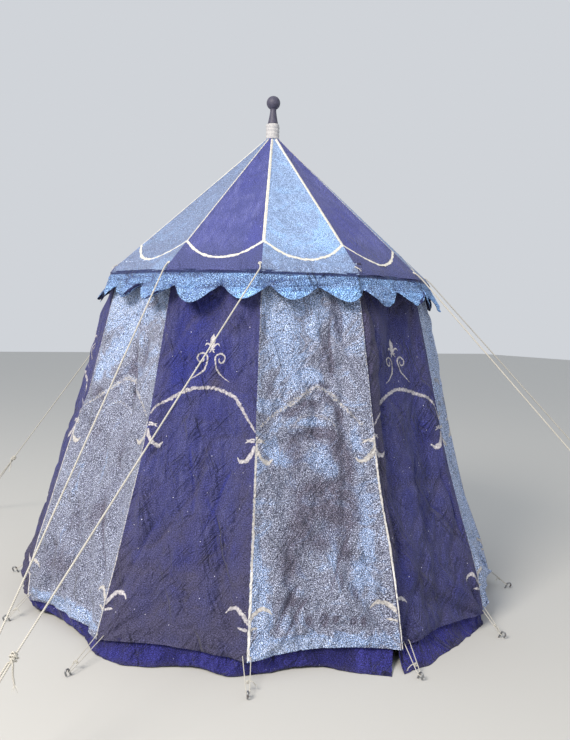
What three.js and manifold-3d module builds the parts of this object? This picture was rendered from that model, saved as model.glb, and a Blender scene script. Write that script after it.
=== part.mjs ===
// Round pavilion tent: twelve tapering wall panels under a twelve-gore roof, a scalloped valance,
// one centre pole with a spoke wheel under the eave, guy ropes to stakes and loops to pegs at the foot.
// Millimetres, +Z up. The origin is the foot of the centre pole, on the ground. The door seam faces -Y.
// Corners are counted from the door seam towards +X. Panel n lies between corner n and corner n + 1.

import * as THREE from 'three';
import { mergeVertices } from 'three/addons/utils/BufferGeometryUtils.js';
import Module from 'manifold-3d';

const wasm = await Module();
wasm.setup();

// Driving dimensions of the tent's outline
const PANELS = 12;
const EAVE_RADIUS = 1000;
const EAVE_HEIGHT = 1881;
const FOOT_RADIUS = 1443;
const HEM_HEIGHT = 68;
const PEAK_HEIGHT = 2738;
const COLLAR_RADIUS = 42;
const COLLAR_TOP = 2831;
const TUCK = 0.6;

// Cloth, with the small space that sewn or touching pieces keep
const ROOF_CLOTH = 4;
const WALL_CLOTH = 3;
const GAP = 0.3;
const VALANCE_DEPTH = 150;
const VALANCE_NOTCH = 70;
const WALL_INSET = 46;
const SCALLOPS_PER_PANEL = 2;
const SKIRT_DOOR_GAP = 12;

// Timber inside and the finial
const POLE_RADIUS = 28;
const HUB_RADIUS = 75;
const HUB_HEIGHT = 50;
const SPOKE_RADIUS = 11;
const WHEEL_HEIGHT = 1860;
const NECK_TOP_RADIUS = 17.5;
const NECK_FOOT_RADIUS = 31.5;
const NECK_HEIGHT = 90;
const BALL_RADIUS = 42;
const BALL_HEIGHT = 2961;

// Guy ropes: the corner that each leaves, and the stake that it runs to
const ROPE_RADIUS = 4;
const ROPE_SIDES = 6;
const KNOT_RADIUS = 20;
const KNOT_DISTANCE = 560;
const STAKE_RADIUS = 14;
const STAKE_HEIGHT = 170;
const STAKE_CIRCLE = 2660;
const STAKE_LEAN = THREE.MathUtils.degToRad(42);
const ROPE_ON_STAKE = 105;
const SHARED_ROPE_STEP = 34;
const STAKES = [
  { name: 'guy_peg_01', angle: 30, radius: STAKE_CIRCLE, corners: [1] },
  { name: 'guy_peg_02', angle: 60, radius: STAKE_CIRCLE, corners: [2] },
  { name: 'guy_peg_03', angle: 120, radius: STAKE_CIRCLE, corners: [4] },
  { name: 'guy_peg_04', angle: 150, radius: STAKE_CIRCLE, corners: [5] },
  { name: 'guy_peg_05', angle: 210, radius: STAKE_CIRCLE, corners: [7] },
  { name: 'guy_peg_06', angle: 311.5, radius: 2800, corners: [10, 11] },
];

// Loops of cord that hold the hem corners down to steel pegs. Each peg has its distance from the pole,
// and its turn in degrees off its corner's bearing, because they were driven by eye.
const FOOT_PEGS = [
  { out: 1596, turn: -0.4 },
  { out: 1563, turn: -4.5 },
  { out: 1530, turn: -4 },
  { out: 1585, turn: 1.5 },
  { out: 1600, turn: -1 },
  { out: 1575, turn: 2 },
  { out: 1590, turn: 0 },
  { out: 1570, turn: -2 },
  { out: 1530, turn: 4 },
  { out: 1564, turn: 4.5 },
  { out: 1675, turn: 1.8 },
  { out: 1624, turn: 0.7 },
];
const CORD_RADIUS = 2.5;
const PEG_RADIUS = 5;
const PEG_LENGTH = 48;
const PEG_LEAN = THREE.MathUtils.degToRad(25);
const CORD_ON_PEG = 24;
const LOOP_START_HEIGHT = 92;
const LOOP_SPREAD = 18;
// A cord's cut end is tilted to the wall, so its edge meets the cloth before its middle does.
const END_TILT = 0.9;

const STEP = (2 * Math.PI) / PANELS;
const HALF_TAN = Math.tan(STEP / 2);
const APOTHEM = Math.cos(STEP / 2);

const tent = new THREE.Group();

const roofDark = new THREE.MeshStandardMaterial({ color: 0x4a47a0, roughness: 0.85, metalness: 0 });
const roofLight = new THREE.MeshStandardMaterial({ color: 0x8fa5d6, roughness: 0.8, metalness: 0 });
const wallDark = new THREE.MeshStandardMaterial({ color: 0x3d3a80, roughness: 0.9, metalness: 0 });
const wallLight = new THREE.MeshStandardMaterial({ color: 0x9aa3b8, roughness: 0.85, metalness: 0 });
const valanceBlue = new THREE.MeshStandardMaterial({ color: 0x8fb0e0, roughness: 0.85, metalness: 0 });
const skirtBlue = new THREE.MeshStandardMaterial({ color: 0x404080, roughness: 0.9, metalness: 0 });
const ropeWhite = new THREE.MeshStandardMaterial({ color: 0xd9d6cb, roughness: 0.9, metalness: 0 });
const polePine = new THREE.MeshStandardMaterial({ color: 0xb08a5a, roughness: 0.7, metalness: 0 });
const stakeAsh = new THREE.MeshStandardMaterial({ color: 0x9b7a50, roughness: 0.8, metalness: 0 });
const pegSteel = new THREE.MeshStandardMaterial({ color: 0x55565a, roughness: 0.5, metalness: 0.9 });
const finialSlate = new THREE.MeshStandardMaterial({ color: 0x3e434c, roughness: 0.45, metalness: 0 });

// A point of the tent's section: its distance from the pole, square to a panel, and its height.
function section(distance, height) {
  return new THREE.Vector2(distance, height);
}

// Unit vector up the slope from foot to top, and the outward normal of that slope, in the section.
function slopeFrame(foot, top) {
  const along = top.clone().sub(foot).normalize();
  return { along, normal: new THREE.Vector2(along.y, -along.x) };
}

const roofEdge = section(EAVE_RADIUS * APOTHEM, EAVE_HEIGHT);
const roofPeak = section(COLLAR_RADIUS * APOTHEM, PEAK_HEIGHT);
const roofSlope = slopeFrame(roofEdge, roofPeak);
const roofFootInside = roofEdge.clone().addScaledVector(roofSlope.normal, -ROOF_CLOTH);

// How far a section point lies under the roof cloth's inner face.
function depthUnderRoof(point) {
  return roofFootInside.clone().sub(point).dot(roofSlope.normal);
}

// Move a section point along a direction until it lies the gap under the roof cloth.
function raisedToRoof(point, along) {
  const climb = along.dot(roofSlope.normal);
  return point.clone().addScaledVector(along, (depthUnderRoof(point) - GAP) / climb);
}

// The valance hangs just inside the roof's edge, and the wall hangs under the roof a little further in.
const wallFootOutside = section(FOOT_RADIUS * APOTHEM, HEM_HEIGHT);
const wallOutsideAtEave = roofFootInside.clone().sub(section(WALL_INSET, 0));
const wallSlope = slopeFrame(wallFootOutside, wallOutsideAtEave);
const wallSpread = -wallSlope.along.x / wallSlope.along.y;
const valanceInset = new THREE.Vector2(GAP, GAP);
const valanceTopOutside = roofFootInside.clone().sub(valanceInset);
const valanceTop = valanceTopOutside.clone().addScaledVector(wallSlope.normal, -WALL_CLOTH);
const wallTopOutside = raisedToRoof(wallOutsideAtEave, wallSlope.along);
const wallTop = wallTopOutside.clone().addScaledVector(wallSlope.normal, -WALL_CLOTH);
const wallFoot = wallFootOutside.clone().addScaledVector(wallSlope.normal, -WALL_CLOTH);

function solidOf(geometry) {
  const bare = geometry.clone();
  bare.deleteAttribute('normal');
  bare.deleteAttribute('uv');
  const merged = mergeVertices(bare);
  const vertProperties = new Float32Array(merged.attributes.position.array);
  const triVerts = new Uint32Array(merged.index.array);
  return new wasm.Manifold(new wasm.Mesh({ numProp: 3, vertProperties, triVerts }));
}

function geometryOf(solid) {
  const mesh = solid.getMesh();
  const geometry = new THREE.BufferGeometry();
  geometry.setAttribute('position', new THREE.BufferAttribute(mesh.vertProperties, 3));
  geometry.setIndex(new THREE.BufferAttribute(mesh.triVerts, 1));
  return geometry;
}

function joined(geometries) {
  return geometryOf(geometries.map(solidOf).reduce((whole, piece) => whole.add(piece)));
}

function cutLevelWithGround(geometry) {
  const below = new THREE.BoxGeometry(400, 400, 400);
  geometry.computeBoundingBox();
  const middle = geometry.boundingBox.getCenter(new THREE.Vector3());
  below.translate(middle.x, middle.y, -200);
  return geometryOf(solidOf(geometry).subtract(solidOf(below)));
}

function addMesh(name, geometry, material, parent = tent) {
  const mesh = new THREE.Mesh(geometry, material);
  mesh.name = name;
  parent.add(mesh);
  return mesh;
}

function numbered(name, index) {
  return `${name}_${String(index + 1).padStart(2, '0')}`;
}

// A point at a corner's bearing: out from the pole, sideways towards the next corner, and up.
function atBearing(angle, out, side, height) {
  const outward = new THREE.Vector3(Math.sin(angle), -Math.cos(angle), 0);
  const sideways = new THREE.Vector3(Math.cos(angle), Math.sin(angle), 0);
  return outward.multiplyScalar(out).addScaledVector(sideways, side).setZ(height);
}

function facing(panel) {
  const group = new THREE.Group();
  group.rotation.z = (panel + 0.5) * STEP;
  tent.add(group);
  return group;
}

// A flat strip of cloth as wide as the tent's side at its foot and its top, drawn in its own plane.
function clothShape(foot, top, gap) {
  const height = top.distanceTo(foot);
  const footHalf = foot.x * HALF_TAN - gap / 2;
  const topHalf = top.x * HALF_TAN - gap / 2;
  const shape = new THREE.Shape();
  shape.moveTo(-footHalf, 0);
  shape.lineTo(footHalf, 0);
  shape.lineTo(topHalf, height);
  shape.lineTo(-topHalf, height);
  shape.closePath();
  return shape;
}

function clothPlate(shape, thickness) {
  return new THREE.ExtrudeGeometry(shape, { depth: thickness, bevelEnabled: false });
}

function layOnSlope(item, foot, top) {
  item.position.set(0, -foot.x, foot.y);
  item.rotation.x = Math.atan2(top.y - foot.y, foot.x - top.x);
}

// The same flat panel on every side of the tent, in two colours by turns.
function addPanels(name, foot, top, thickness, colours) {
  const shape = clothShape(foot, top, GAP);
  for (let panel = 0; panel < PANELS; panel += 1) {
    const material = colours[panel % colours.length];
    const mesh = addMesh(numbered(name, panel), clothPlate(shape, thickness), material, facing(panel));
    layOnSlope(mesh, foot, top);
  }
}

function addRoofPanels() {
  const climb = (COLLAR_RADIUS - POLE_RADIUS) * TUCK;
  const top = roofPeak.clone().addScaledVector(roofSlope.along, climb);
  top.addScaledVector(roofSlope.normal, -ROOF_CLOTH);
  addPanels('roof_panel', roofFootInside, top, ROOF_CLOTH, [roofDark, roofLight]);
}

function addWallPanels() {
  addPanels('wall_panel', wallFoot, wallTop, WALL_CLOTH, [wallDark, wallLight]);
}

// One side of the valance, hanging from y = 0, with its lower edge cut in scallops.
function valanceShape(topHalf) {
  const lean = wallSlope.along.x;
  const halfAt = (depth) => topHalf - depth * lean * HALF_TAN + GAP;
  const shape = new THREE.Shape();
  shape.moveTo(halfAt(0), 0);
  shape.lineTo(-halfAt(0), 0);
  shape.lineTo(-halfAt(VALANCE_NOTCH), -VALANCE_NOTCH);
  const width = (2 * halfAt(VALANCE_NOTCH)) / SCALLOPS_PER_PANEL;
  for (let scallop = 0; scallop < SCALLOPS_PER_PANEL; scallop += 1) {
    const start = -halfAt(VALANCE_NOTCH) + scallop * width;
    const drop = -2 * VALANCE_DEPTH + VALANCE_NOTCH;
    shape.quadraticCurveTo(start + width / 2, drop, start + width, -VALANCE_NOTCH);
  }
  shape.closePath();
  return shape;
}

function addValance() {
  const shape = valanceShape(valanceTop.x * HALF_TAN);
  const options = { depth: WALL_CLOTH, bevelEnabled: false, curveSegments: 4 };
  const plate = new THREE.ExtrudeGeometry(shape, options);
  const lean = Math.atan2(wallSlope.along.y, -wallSlope.along.x);
  const sides = [];
  for (let panel = 0; panel < PANELS; panel += 1) {
    const side = plate.clone().rotateX(lean).translate(0, -valanceTop.x, valanceTop.y);
    sides.push(side.rotateZ((panel + 0.5) * STEP));
  }
  addMesh('valance', joined(sides), valanceBlue);
}

// The mud skirt hangs straight from the hem to the ground, in four lengths of three sides each.
function addMudSkirt() {
  const names = ['front_right', 'back_right', 'back_left', 'front_left'];
  const distance = wallFoot.x;
  const half = distance * HALF_TAN + GAP;
  names.forEach((name, quarter) => {
    const strips = [];
    for (let third = 0; third < 3; third += 1) {
      const panel = quarter * 3 + third;
      const opensLeft = panel === 0 ? SKIRT_DOOR_GAP : 0;
      const opensRight = panel === PANELS - 1 ? SKIRT_DOOR_GAP : 0;
      const startCut = third === 0 ? 2 * GAP : 0;
      const endCut = third === 2 ? 2 * GAP : 0;
      const left = -half + opensLeft + startCut;
      const right = half - opensRight - endCut;
      const strip = new THREE.BoxGeometry(right - left, WALL_CLOTH, HEM_HEIGHT - 3 * GAP);
      strip.translate((left + right) / 2, -distance - WALL_CLOTH / 2, (HEM_HEIGHT - 3 * GAP) / 2);
      strips.push(strip.rotateZ((panel + 0.5) * STEP));
    }
    addMesh(`mud_skirt_${name}`, joined(strips), skirtBlue);
  });
}

function addCentrePole() {
  const geometry = new THREE.CylinderGeometry(POLE_RADIUS, POLE_RADIUS, COLLAR_TOP, 24);
  const pole = addMesh('centre_pole', geometry, polePine);
  pole.rotation.x = Math.PI / 2;
  pole.position.z = COLLAR_TOP / 2;
}

function addLathe(name, profile, sides, material) {
  const geometry = new THREE.LatheGeometry(profile, sides);
  const mesh = addMesh(name, geometry, material);
  mesh.rotation.x = Math.PI / 2;
  return mesh;
}

// The wrapped collar sits on the roof's peak and grips the pole.
function addRoofCollar() {
  const inner = POLE_RADIUS + GAP;
  const rise = roofSlope.along.y / -roofSlope.along.x;
  const seat = PEAK_HEIGHT + 2 * GAP;
  const profile = [
    section(inner, seat + (COLLAR_RADIUS - inner) * rise),
    section(COLLAR_RADIUS, seat),
    section(COLLAR_RADIUS, COLLAR_TOP),
    section(inner, COLLAR_TOP),
  ];
  profile.push(profile[0].clone());
  addLathe('roof_collar', profile, 24, ropeWhite);
}

function addFinial() {
  const foot = COLLAR_TOP + GAP;
  const neckTop = foot + NECK_HEIGHT;
  const profile = [
    section(0, foot),
    section(NECK_FOOT_RADIUS, foot),
    section(NECK_TOP_RADIUS + 4, foot + NECK_HEIGHT * 0.55),
    section(NECK_TOP_RADIUS, neckTop),
  ];
  const start = Math.asin((neckTop - BALL_HEIGHT) / BALL_RADIUS) + 0.12;
  const rings = 10;
  for (let ring = 0; ring < rings; ring += 1) {
    const angle = start + ((Math.PI / 2 - start) * ring) / rings;
    profile.push(section(BALL_RADIUS * Math.cos(angle), BALL_HEIGHT + BALL_RADIUS * Math.sin(angle)));
  }
  profile.push(section(0, BALL_HEIGHT + BALL_RADIUS));
  addLathe('finial', profile, 24, finialSlate);
}

// Hub and spokes spread the eave from inside: each spoke ends just inside a corner of the wall.
function addSpokeWheel() {
  const low = WHEEL_HEIGHT - HUB_HEIGHT / 2;
  const high = WHEEL_HEIGHT + HUB_HEIGHT / 2;
  const inner = POLE_RADIUS + GAP;
  const ring = [section(inner, low), section(HUB_RADIUS, low), section(HUB_RADIUS, high)];
  ring.push(section(inner, high), section(inner, low));
  const hub = new THREE.LatheGeometry(ring, 24).rotateX(Math.PI / 2);
  const wallDistance = wallTop.x + (wallTop.y - WHEEL_HEIGHT) * wallSpread;
  const reach = (wallDistance - GAP - SPOKE_RADIUS * (Math.sin(STEP / 2) + wallSlope.normal.y)) / APOTHEM;
  const start = (HUB_RADIUS + inner) / 2;
  const spokes = [hub];
  for (let corner = 0; corner < PANELS; corner += 1) {
    const spoke = new THREE.CylinderGeometry(SPOKE_RADIUS, SPOKE_RADIUS, reach - start, 8);
    spoke.translate(0, -(reach + start) / 2, WHEEL_HEIGHT);
    spokes.push(spoke.rotateZ(corner * STEP));
  }
  addMesh('spoke_wheel', joined(spokes), polePine);
}

function ropeSection(radius, sides) {
  const shape = new THREE.Shape();
  for (let side = 0; side < sides; side += 1) {
    const angle = (2 * Math.PI * side) / sides;
    const method = side === 0 ? 'moveTo' : 'lineTo';
    shape[method](radius * Math.cos(angle), radius * Math.sin(angle));
  }
  shape.closePath();
  return shape;
}

function strand(from, to, radius) {
  const path = new THREE.LineCurve3(from, to);
  return new THREE.ExtrudeGeometry(ropeSection(radius, ROPE_SIDES), { steps: 1, extrudePath: path });
}

// Rope laid half round a stake: from one side, behind it, to the other side.
class HalfTurn extends THREE.Curve {
  constructor(centre, pull, side, radius) {
    super();
    Object.assign(this, { centre, pull, side, radius });
  }

  getPoint(t, target = new THREE.Vector3()) {
    const angle = Math.PI * t;
    target.copy(this.centre).addScaledVector(this.side, this.radius * Math.cos(angle));
    return target.addScaledVector(this.pull, -this.radius * Math.sin(angle));
  }
}

// Both strands of a loop and the half turn that they make round a stake or peg.
function loopRound(centre, axis, ends, turnRadius, ropeRadius, steps) {
  const middle = ends[0].clone().lerp(ends[1], 0.5);
  const pull = middle.sub(centre).normalize();
  const side = new THREE.Vector3().crossVectors(pull, axis).normalize();
  const turn = new HalfTurn(centre, pull, side, turnRadius);
  const bend = new THREE.ExtrudeGeometry(ropeSection(ropeRadius, ROPE_SIDES), { steps, extrudePath: turn });
  const pieces = [bend];
  [1, -1].forEach((sign, index) => {
    const contact = centre.clone().addScaledVector(side, sign * turnRadius);
    contact.addScaledVector(pull, -ropeRadius / 2);
    pieces.push(strand(ends[index], contact, ropeRadius));
  });
  return pieces;
}

function leaning(geometry, base, angle, lean) {
  geometry.rotateX(Math.PI / 2 + lean);
  return geometry.rotateZ(angle).translate(base.x, base.y, 0);
}

function axisOf(angle, lean) {
  return atBearing(angle, Math.sin(lean), 0, Math.cos(lean));
}

function addGuyStake(stake) {
  const angle = THREE.MathUtils.degToRad(stake.angle);
  const base = atBearing(angle, stake.radius, 0, 0);
  const profile = [
    section(0, -60),
    section(STAKE_RADIUS, -60),
    section(STAKE_RADIUS, STAKE_HEIGHT - 8),
    section(STAKE_RADIUS - 4, STAKE_HEIGHT),
    section(0, STAKE_HEIGHT),
  ];
  const shaft = leaning(new THREE.LatheGeometry(profile, 12), base, angle, STAKE_LEAN);
  addMesh(stake.name, cutLevelWithGround(shaft), stakeAsh);
}

// Each guy rope leaves the roof's edge at a corner, runs to a knot and loops round its stake.
function addGuyRope(name, corner, stake, level) {
  const stakeAngle = THREE.MathUtils.degToRad(stake.angle);
  const axis = axisOf(stakeAngle, STAKE_LEAN);
  const centre = atBearing(stakeAngle, stake.radius, 0, 0).addScaledVector(axis, level);
  const lift = ROPE_RADIUS + 2 * GAP;
  const edgeOut = EAVE_RADIUS + lift * roofSlope.normal.x;
  const start = atBearing(corner * STEP, edgeOut, 0, EAVE_HEIGHT + lift * roofSlope.normal.y);
  const pull = start.clone().sub(centre).normalize();
  const knot = centre.clone().addScaledVector(pull, KNOT_DISTANCE);
  const ball = new THREE.SphereGeometry(KNOT_RADIUS, 8, 6).translate(knot.x, knot.y, knot.z);
  const turnRadius = STAKE_RADIUS + ROPE_RADIUS + 2 * GAP;
  const side = new THREE.Vector3().crossVectors(pull, axis).normalize();
  const ends = [1, -1].map((sign) => knot.clone().addScaledVector(side, (sign * KNOT_RADIUS) / 3));
  const loop = loopRound(centre, axis, ends, turnRadius, ROPE_RADIUS, 8);
  addMesh(name, joined([strand(start, knot, ROPE_RADIUS), ball, ...loop]), ropeWhite);
}

function addGuyLines() {
  let rope = 0;
  STAKES.forEach((stake) => {
    addGuyStake(stake);
    stake.corners.forEach((corner, order) => {
      addGuyRope(numbered('guy_rope', rope), corner, stake, ROPE_ON_STAKE + order * SHARED_ROPE_STEP);
      rope += 1;
    });
  });
}

// A steel peg beyond each hem corner, with the cord loop that ties the hem down to it.
function addFootPegs() {
  const wallOut = wallFootOutside.x - (LOOP_START_HEIGHT - HEM_HEIGHT) * wallSpread;
  const loopOut = (wallOut + GAP + CORD_RADIUS * END_TILT - LOOP_SPREAD * Math.sin(STEP / 2)) / APOTHEM;
  const profile = [
    section(0, -30),
    section(PEG_RADIUS, -30),
    section(PEG_RADIUS, PEG_LENGTH - 6),
    section(PEG_RADIUS * 1.7, PEG_LENGTH - 5),
    section(PEG_RADIUS * 1.7, PEG_LENGTH),
    section(0, PEG_LENGTH),
  ];
  FOOT_PEGS.forEach((peg, corner) => {
    const angle = corner * STEP;
    const pegAngle = angle + THREE.MathUtils.degToRad(peg.turn);
    const base = atBearing(pegAngle, peg.out, 0, 0);
    const axis = axisOf(pegAngle, PEG_LEAN);
    const shaft = leaning(new THREE.LatheGeometry(profile, 10), base, pegAngle, PEG_LEAN);
    const centre = base.clone().addScaledVector(axis, CORD_ON_PEG);
    const ends = [1, -1].map((sign) => atBearing(angle, loopOut, sign * LOOP_SPREAD, LOOP_START_HEIGHT));
    const loop = loopRound(centre, axis, ends, PEG_RADIUS + CORD_RADIUS / 2, CORD_RADIUS, 6);
    addMesh(numbered('foot_peg', corner), joined([cutLevelWithGround(shaft), ...loop]), pegSteel);
  });
}

addRoofPanels();
addWallPanels();
addValance();
addMudSkirt();
addCentrePole();
addSpokeWheel();
addRoofCollar();
addFinial();
addGuyLines();
addFootPegs();

export default tent;
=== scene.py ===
# %% [markdown]
# # Dressing a round pavilion tent
#
# The tent is painted canvas on one pole: twelve roof gores, twelve wall panels, a scalloped
# valance, a mud skirt, and ropes that hold it out and down. The solid model gives every size. This
# lesson lays cloth, paint and rope over those solids, one kind of piece at a time, and names each
# material for what it really is.

# %% Load the frame
import math

import bpy
import numpy as np
from mathutils import Matrix


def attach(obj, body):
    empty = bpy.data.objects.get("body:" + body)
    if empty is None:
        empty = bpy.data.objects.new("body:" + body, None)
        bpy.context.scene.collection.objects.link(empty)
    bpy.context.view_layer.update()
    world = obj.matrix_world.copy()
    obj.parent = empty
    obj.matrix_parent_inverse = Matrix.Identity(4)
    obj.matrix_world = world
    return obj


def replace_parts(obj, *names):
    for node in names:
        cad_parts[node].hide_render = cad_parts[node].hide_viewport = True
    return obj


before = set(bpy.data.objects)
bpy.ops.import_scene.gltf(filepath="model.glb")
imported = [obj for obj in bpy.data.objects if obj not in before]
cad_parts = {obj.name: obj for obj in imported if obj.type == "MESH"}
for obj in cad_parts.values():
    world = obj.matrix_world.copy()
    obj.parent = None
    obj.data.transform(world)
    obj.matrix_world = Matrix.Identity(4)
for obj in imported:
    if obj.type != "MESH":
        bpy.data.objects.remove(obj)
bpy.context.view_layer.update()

# %% [markdown]
# ## The eye
#
# The camera stands in front of the tent, a little left of the door, at eye height. Its place and turn were
# solved from the corners of the roof, the eave and the hem, so they are kept as found. Angles are in
# degrees. The bearing is counted from the door seam round the tent's pole.

# %% The camera
CAMERA_BEARING = -27.742
CAMERA_DISTANCE = 4.8874
CAMERA_HEIGHT = 1.6258
CAMERA_YAW = -1.361
CAMERA_PITCH = -3.630
CAMERA_ROLL = -1.566
CAMERA_LENS = 37.83


def turn_about(axis, degrees):
    """The rotation matrix for so many degrees about one axis."""
    return Matrix.Rotation(math.radians(degrees), 4, axis)


camera = bpy.data.objects.new("camera", bpy.data.cameras.new("camera"))
camera.data.lens = CAMERA_LENS
bpy.context.collection.objects.link(camera)
bearing = math.radians(CAMERA_BEARING)
camera_place = (CAMERA_DISTANCE * math.sin(bearing), -CAMERA_DISTANCE * math.cos(bearing), CAMERA_HEIGHT)
level_view = turn_about("X", 90)
camera_turn = turn_about("Z", CAMERA_BEARING + CAMERA_YAW) @ turn_about("X", CAMERA_PITCH)
camera_turn = camera_turn @ turn_about("Y", CAMERA_ROLL) @ level_view
camera.matrix_world = Matrix.Translation(camera_place) @ camera_turn
bpy.context.scene.camera = camera
print("camera stands at", [round(n, 3) for n in camera_place])

# %% [markdown]
# ## Colours and nodes
#
# Colours are written as the hex values that a screen shows, and one function turns them into the linear
# light that a shader adds up. One more function adds any node: it takes the node's kind, what goes into its
# sockets and its settings, and hands back one output, so that a material reads as a list of steps. A third
# starts a material and sets what is constant on its shader.


# %% Helpers for materials
def colour(code):
    """Hex to linear light: a channel c becomes c / 12.92 when dark, else ((c + 0.055) / 1.055) ^ 2.4."""
    channels = np.array([int(code[start : start + 2], 16) for start in (1, 3, 5)]) / 255
    linear = np.where(channels <= 0.04045, channels / 12.92, ((channels + 0.055) / 1.055) ** 2.4)
    return (*linear.tolist(), 1.0)


def add(tree, kind, sockets=None, out=0, **settings):
    """Adds a shader node, fills its sockets with values or links, and returns one of its outputs."""
    node = tree.nodes.new("ShaderNode" + kind)
    for name, value in settings.items():
        setattr(node, name, value)
    for name, value in (sockets or {}).items():
        if isinstance(value, bpy.types.NodeSocket):
            tree.links.new(value, node.inputs[name])
        else:
            node.inputs[name].default_value = value
    return node.outputs[out]


def new_material(name, **constants):
    """A material with its shader's constant sockets set, returned with its node tree and its shader."""
    material = bpy.data.materials.new(name)
    material.use_nodes = True
    shader = material.node_tree.nodes["Principled BSDF"]
    for socket, value in constants.items():
        shader.inputs[socket.replace("_", " ")].default_value = value
    return material, material.node_tree, shader


print("deep ultramarine #2f2f96 in linear light:", [round(c, 3) for c in colour("#2f2f96")])

# %% [markdown]
# ## Floor and light
#
# The day was bright but overcast, so the light is a pale dome with one broad soft light high on the left.
# The floor is plain and pale. It belongs to the stage and not to the tent.

# %% Floor, dome and key light
FLOOR_SIZE = 60.0
DOME_STRENGTH = 0.74
KEY_PLACE = (-7.5, -4.0, 7.0)
KEY_SIZE = 3.5
KEY_POWER = 1020.0

floor_mesh = bpy.data.meshes.new("floor")
half_floor = FLOOR_SIZE / 2
floor_corners = [(-half_floor, -half_floor, 0), (half_floor, -half_floor, 0)]
floor_corners += [(half_floor, half_floor, 0), (-half_floor, half_floor, 0)]
floor_mesh.from_pydata(floor_corners, [], [(0, 1, 2, 3)])
floor = bpy.data.objects.new("floor", floor_mesh)
bpy.context.collection.objects.link(floor)
floor_finish, tree, shader = new_material("matt grey backdrop paper", Roughness=0.95)
shader.inputs["Base Color"].default_value = colour("#c9c9c6")
floor_mesh.materials.append(floor_finish)

bpy.context.scene.view_settings.view_transform = "Standard"
dome = bpy.data.worlds.new("overcast dome")
dome.use_nodes = True
dome.node_tree.nodes["Background"].inputs["Color"].default_value = colour("#eef2f8")
dome.node_tree.nodes["Background"].inputs["Strength"].default_value = DOME_STRENGTH
bpy.context.scene.world = dome

key = bpy.data.objects.new("key light", bpy.data.lights.new("key light", "AREA"))
key.data.size = KEY_SIZE
key.data.energy = KEY_POWER
key.data.color = colour("#fff6ea")[:3]
key.location = KEY_PLACE
key.rotation_mode = "QUATERNION"
key.rotation_quaternion = (-key.location).to_track_quat("-Z", "Y")
bpy.context.collection.objects.link(key)
print("dome and key light set over a floor of", FLOOR_SIZE, "m")

# %% [markdown]
# ## Cloth as numbers
#
# Every side of the tent is a long trapezium that leans against its neighbours. Its foot and its top are
# read from the solid model. A point of the cloth is then given by x across the side and s up its slope, and
# the cloth stands proud of that flat ground by a small relief: sags, folds and creases. The relief fades
# out at the seams, so that neighbours always meet.

# %% Read the sides from the solids
PANELS = 12
STEP = 2 * math.pi / PANELS
HALF_TAN = math.tan(STEP / 2)


def side_axes(panel):
    """Unit vectors out of a side and across it, to the right as seen from outside."""
    angle = (panel + 0.5) * STEP
    out = np.array([math.sin(angle), -math.cos(angle), 0.0])
    across = np.array([math.cos(angle), math.sin(angle), 0.0])
    return out, across


def plate_ends(node):
    """The outer face of the first side's plate: its foot, which is furthest out, and then its top."""
    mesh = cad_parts[node].data
    points = np.empty(len(mesh.vertices) * 3)
    mesh.vertices.foreach_get("co", points)
    points = points.reshape(-1, 3)
    out = points @ side_axes(0)[0]
    top_height = points[:, 2].max()
    top_out = out[points[:, 2] > top_height - 1e-4].max()
    return np.array([out.max(), points[out.argmax(), 2]]), np.array([top_out, top_height])


roof_foot, roof_top = plate_ends("roof_panel_01")
wall_foot, wall_top = plate_ends("wall_panel_01")
valance_top = plate_ends("valance")[1]
for label, end in (("eave", roof_foot), ("hem", wall_foot), ("valance", valance_top)):
    print(label, "stands", round(end[0], 3), "m out and", round(end[1], 3), "m up")


# %% Soft steps and repeatable noise
def eased(value, low, high):
    """A soft step: t = (value - low) / (high - low), held to 0..1, then 3t^2 - 2t^3."""
    t = np.clip((value - low) / (high - low), 0, 1)
    return t * t * (3 - 2 * t)


def lattice(column, row, seed):
    """A repeatable number in -1..1 for each lattice place: the fraction of a large multiple of a sine."""
    number = np.sin(column * 127.1 + row * 311.7 + seed * 74.7) * 43758.5453
    return 2 * (number - np.floor(number)) - 1


def ripple(x, y, seed):
    """Smooth noise: lattice numbers at the four nearest whole places, mixed by a soft step each way."""
    column, row = np.floor(x), np.floor(y)
    right, up = eased(x - column, 0, 1), eased(y - row, 0, 1)
    low = lattice(column, row, seed) * (1 - right) + lattice(column + 1, row, seed) * right
    high = lattice(column, row + 1, seed) * (1 - right) + lattice(column + 1, row + 1, seed) * right
    return low * (1 - up) + high * up


def crease(x, y, seed):
    """Ridged noise: sharp valleys where smooth noise crosses zero, from 0 on the flat to -1 in a crease."""
    return -np.clip(1 - 3.2 * np.abs(ripple(x, y, seed)), 0, 1)


print("noise at a few places:", np.round(ripple(np.arange(3) + 0.5, np.ones(3) * 0.5, 1), 2))


# %% One side of the tent as a surface
# The seams of the walls hang a little hollow between eave and hem. Each hollow is how far a
# corner's seam lies in from the straight line at these heights, in metres, and a corner that
# isn't listed has the usual one.
HOLLOW_HEIGHTS = (0.068, 0.25, 0.40, 0.55, 0.70, 0.85, 1.00, 1.20, 1.60, 1.93)
USUAL_HOLLOW = (0.0, 0.001, 0.003, 0.012, 0.023, 0.029, 0.028, 0.023, 0.010, 0.0)
HOLLOWS = {
    9: (-0.002, -0.040, -0.040, -0.032, -0.027, -0.022, -0.014, 0.012, 0.002, -0.008),
    10: (0.0, 0.015, 0.031, 0.039, 0.046, 0.055, 0.055, 0.048, 0.030, 0.014),
    11: (0.0, 0.003, 0.010, 0.018, 0.026, 0.032, 0.031, 0.026, 0.014, 0.004),
    0: (0.0, -0.009, -0.010, -0.004, 0.015, 0.024, 0.021, 0.016, 0.002, -0.003),
    1: (0.0, -0.011, -0.006, 0.006, 0.015, 0.022, 0.024, 0.017, 0.004, 0.0),
    2: (-0.012, -0.012, 0.007, 0.028, 0.031, 0.031, 0.030, 0.022, 0.002, -0.006),
}
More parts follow.
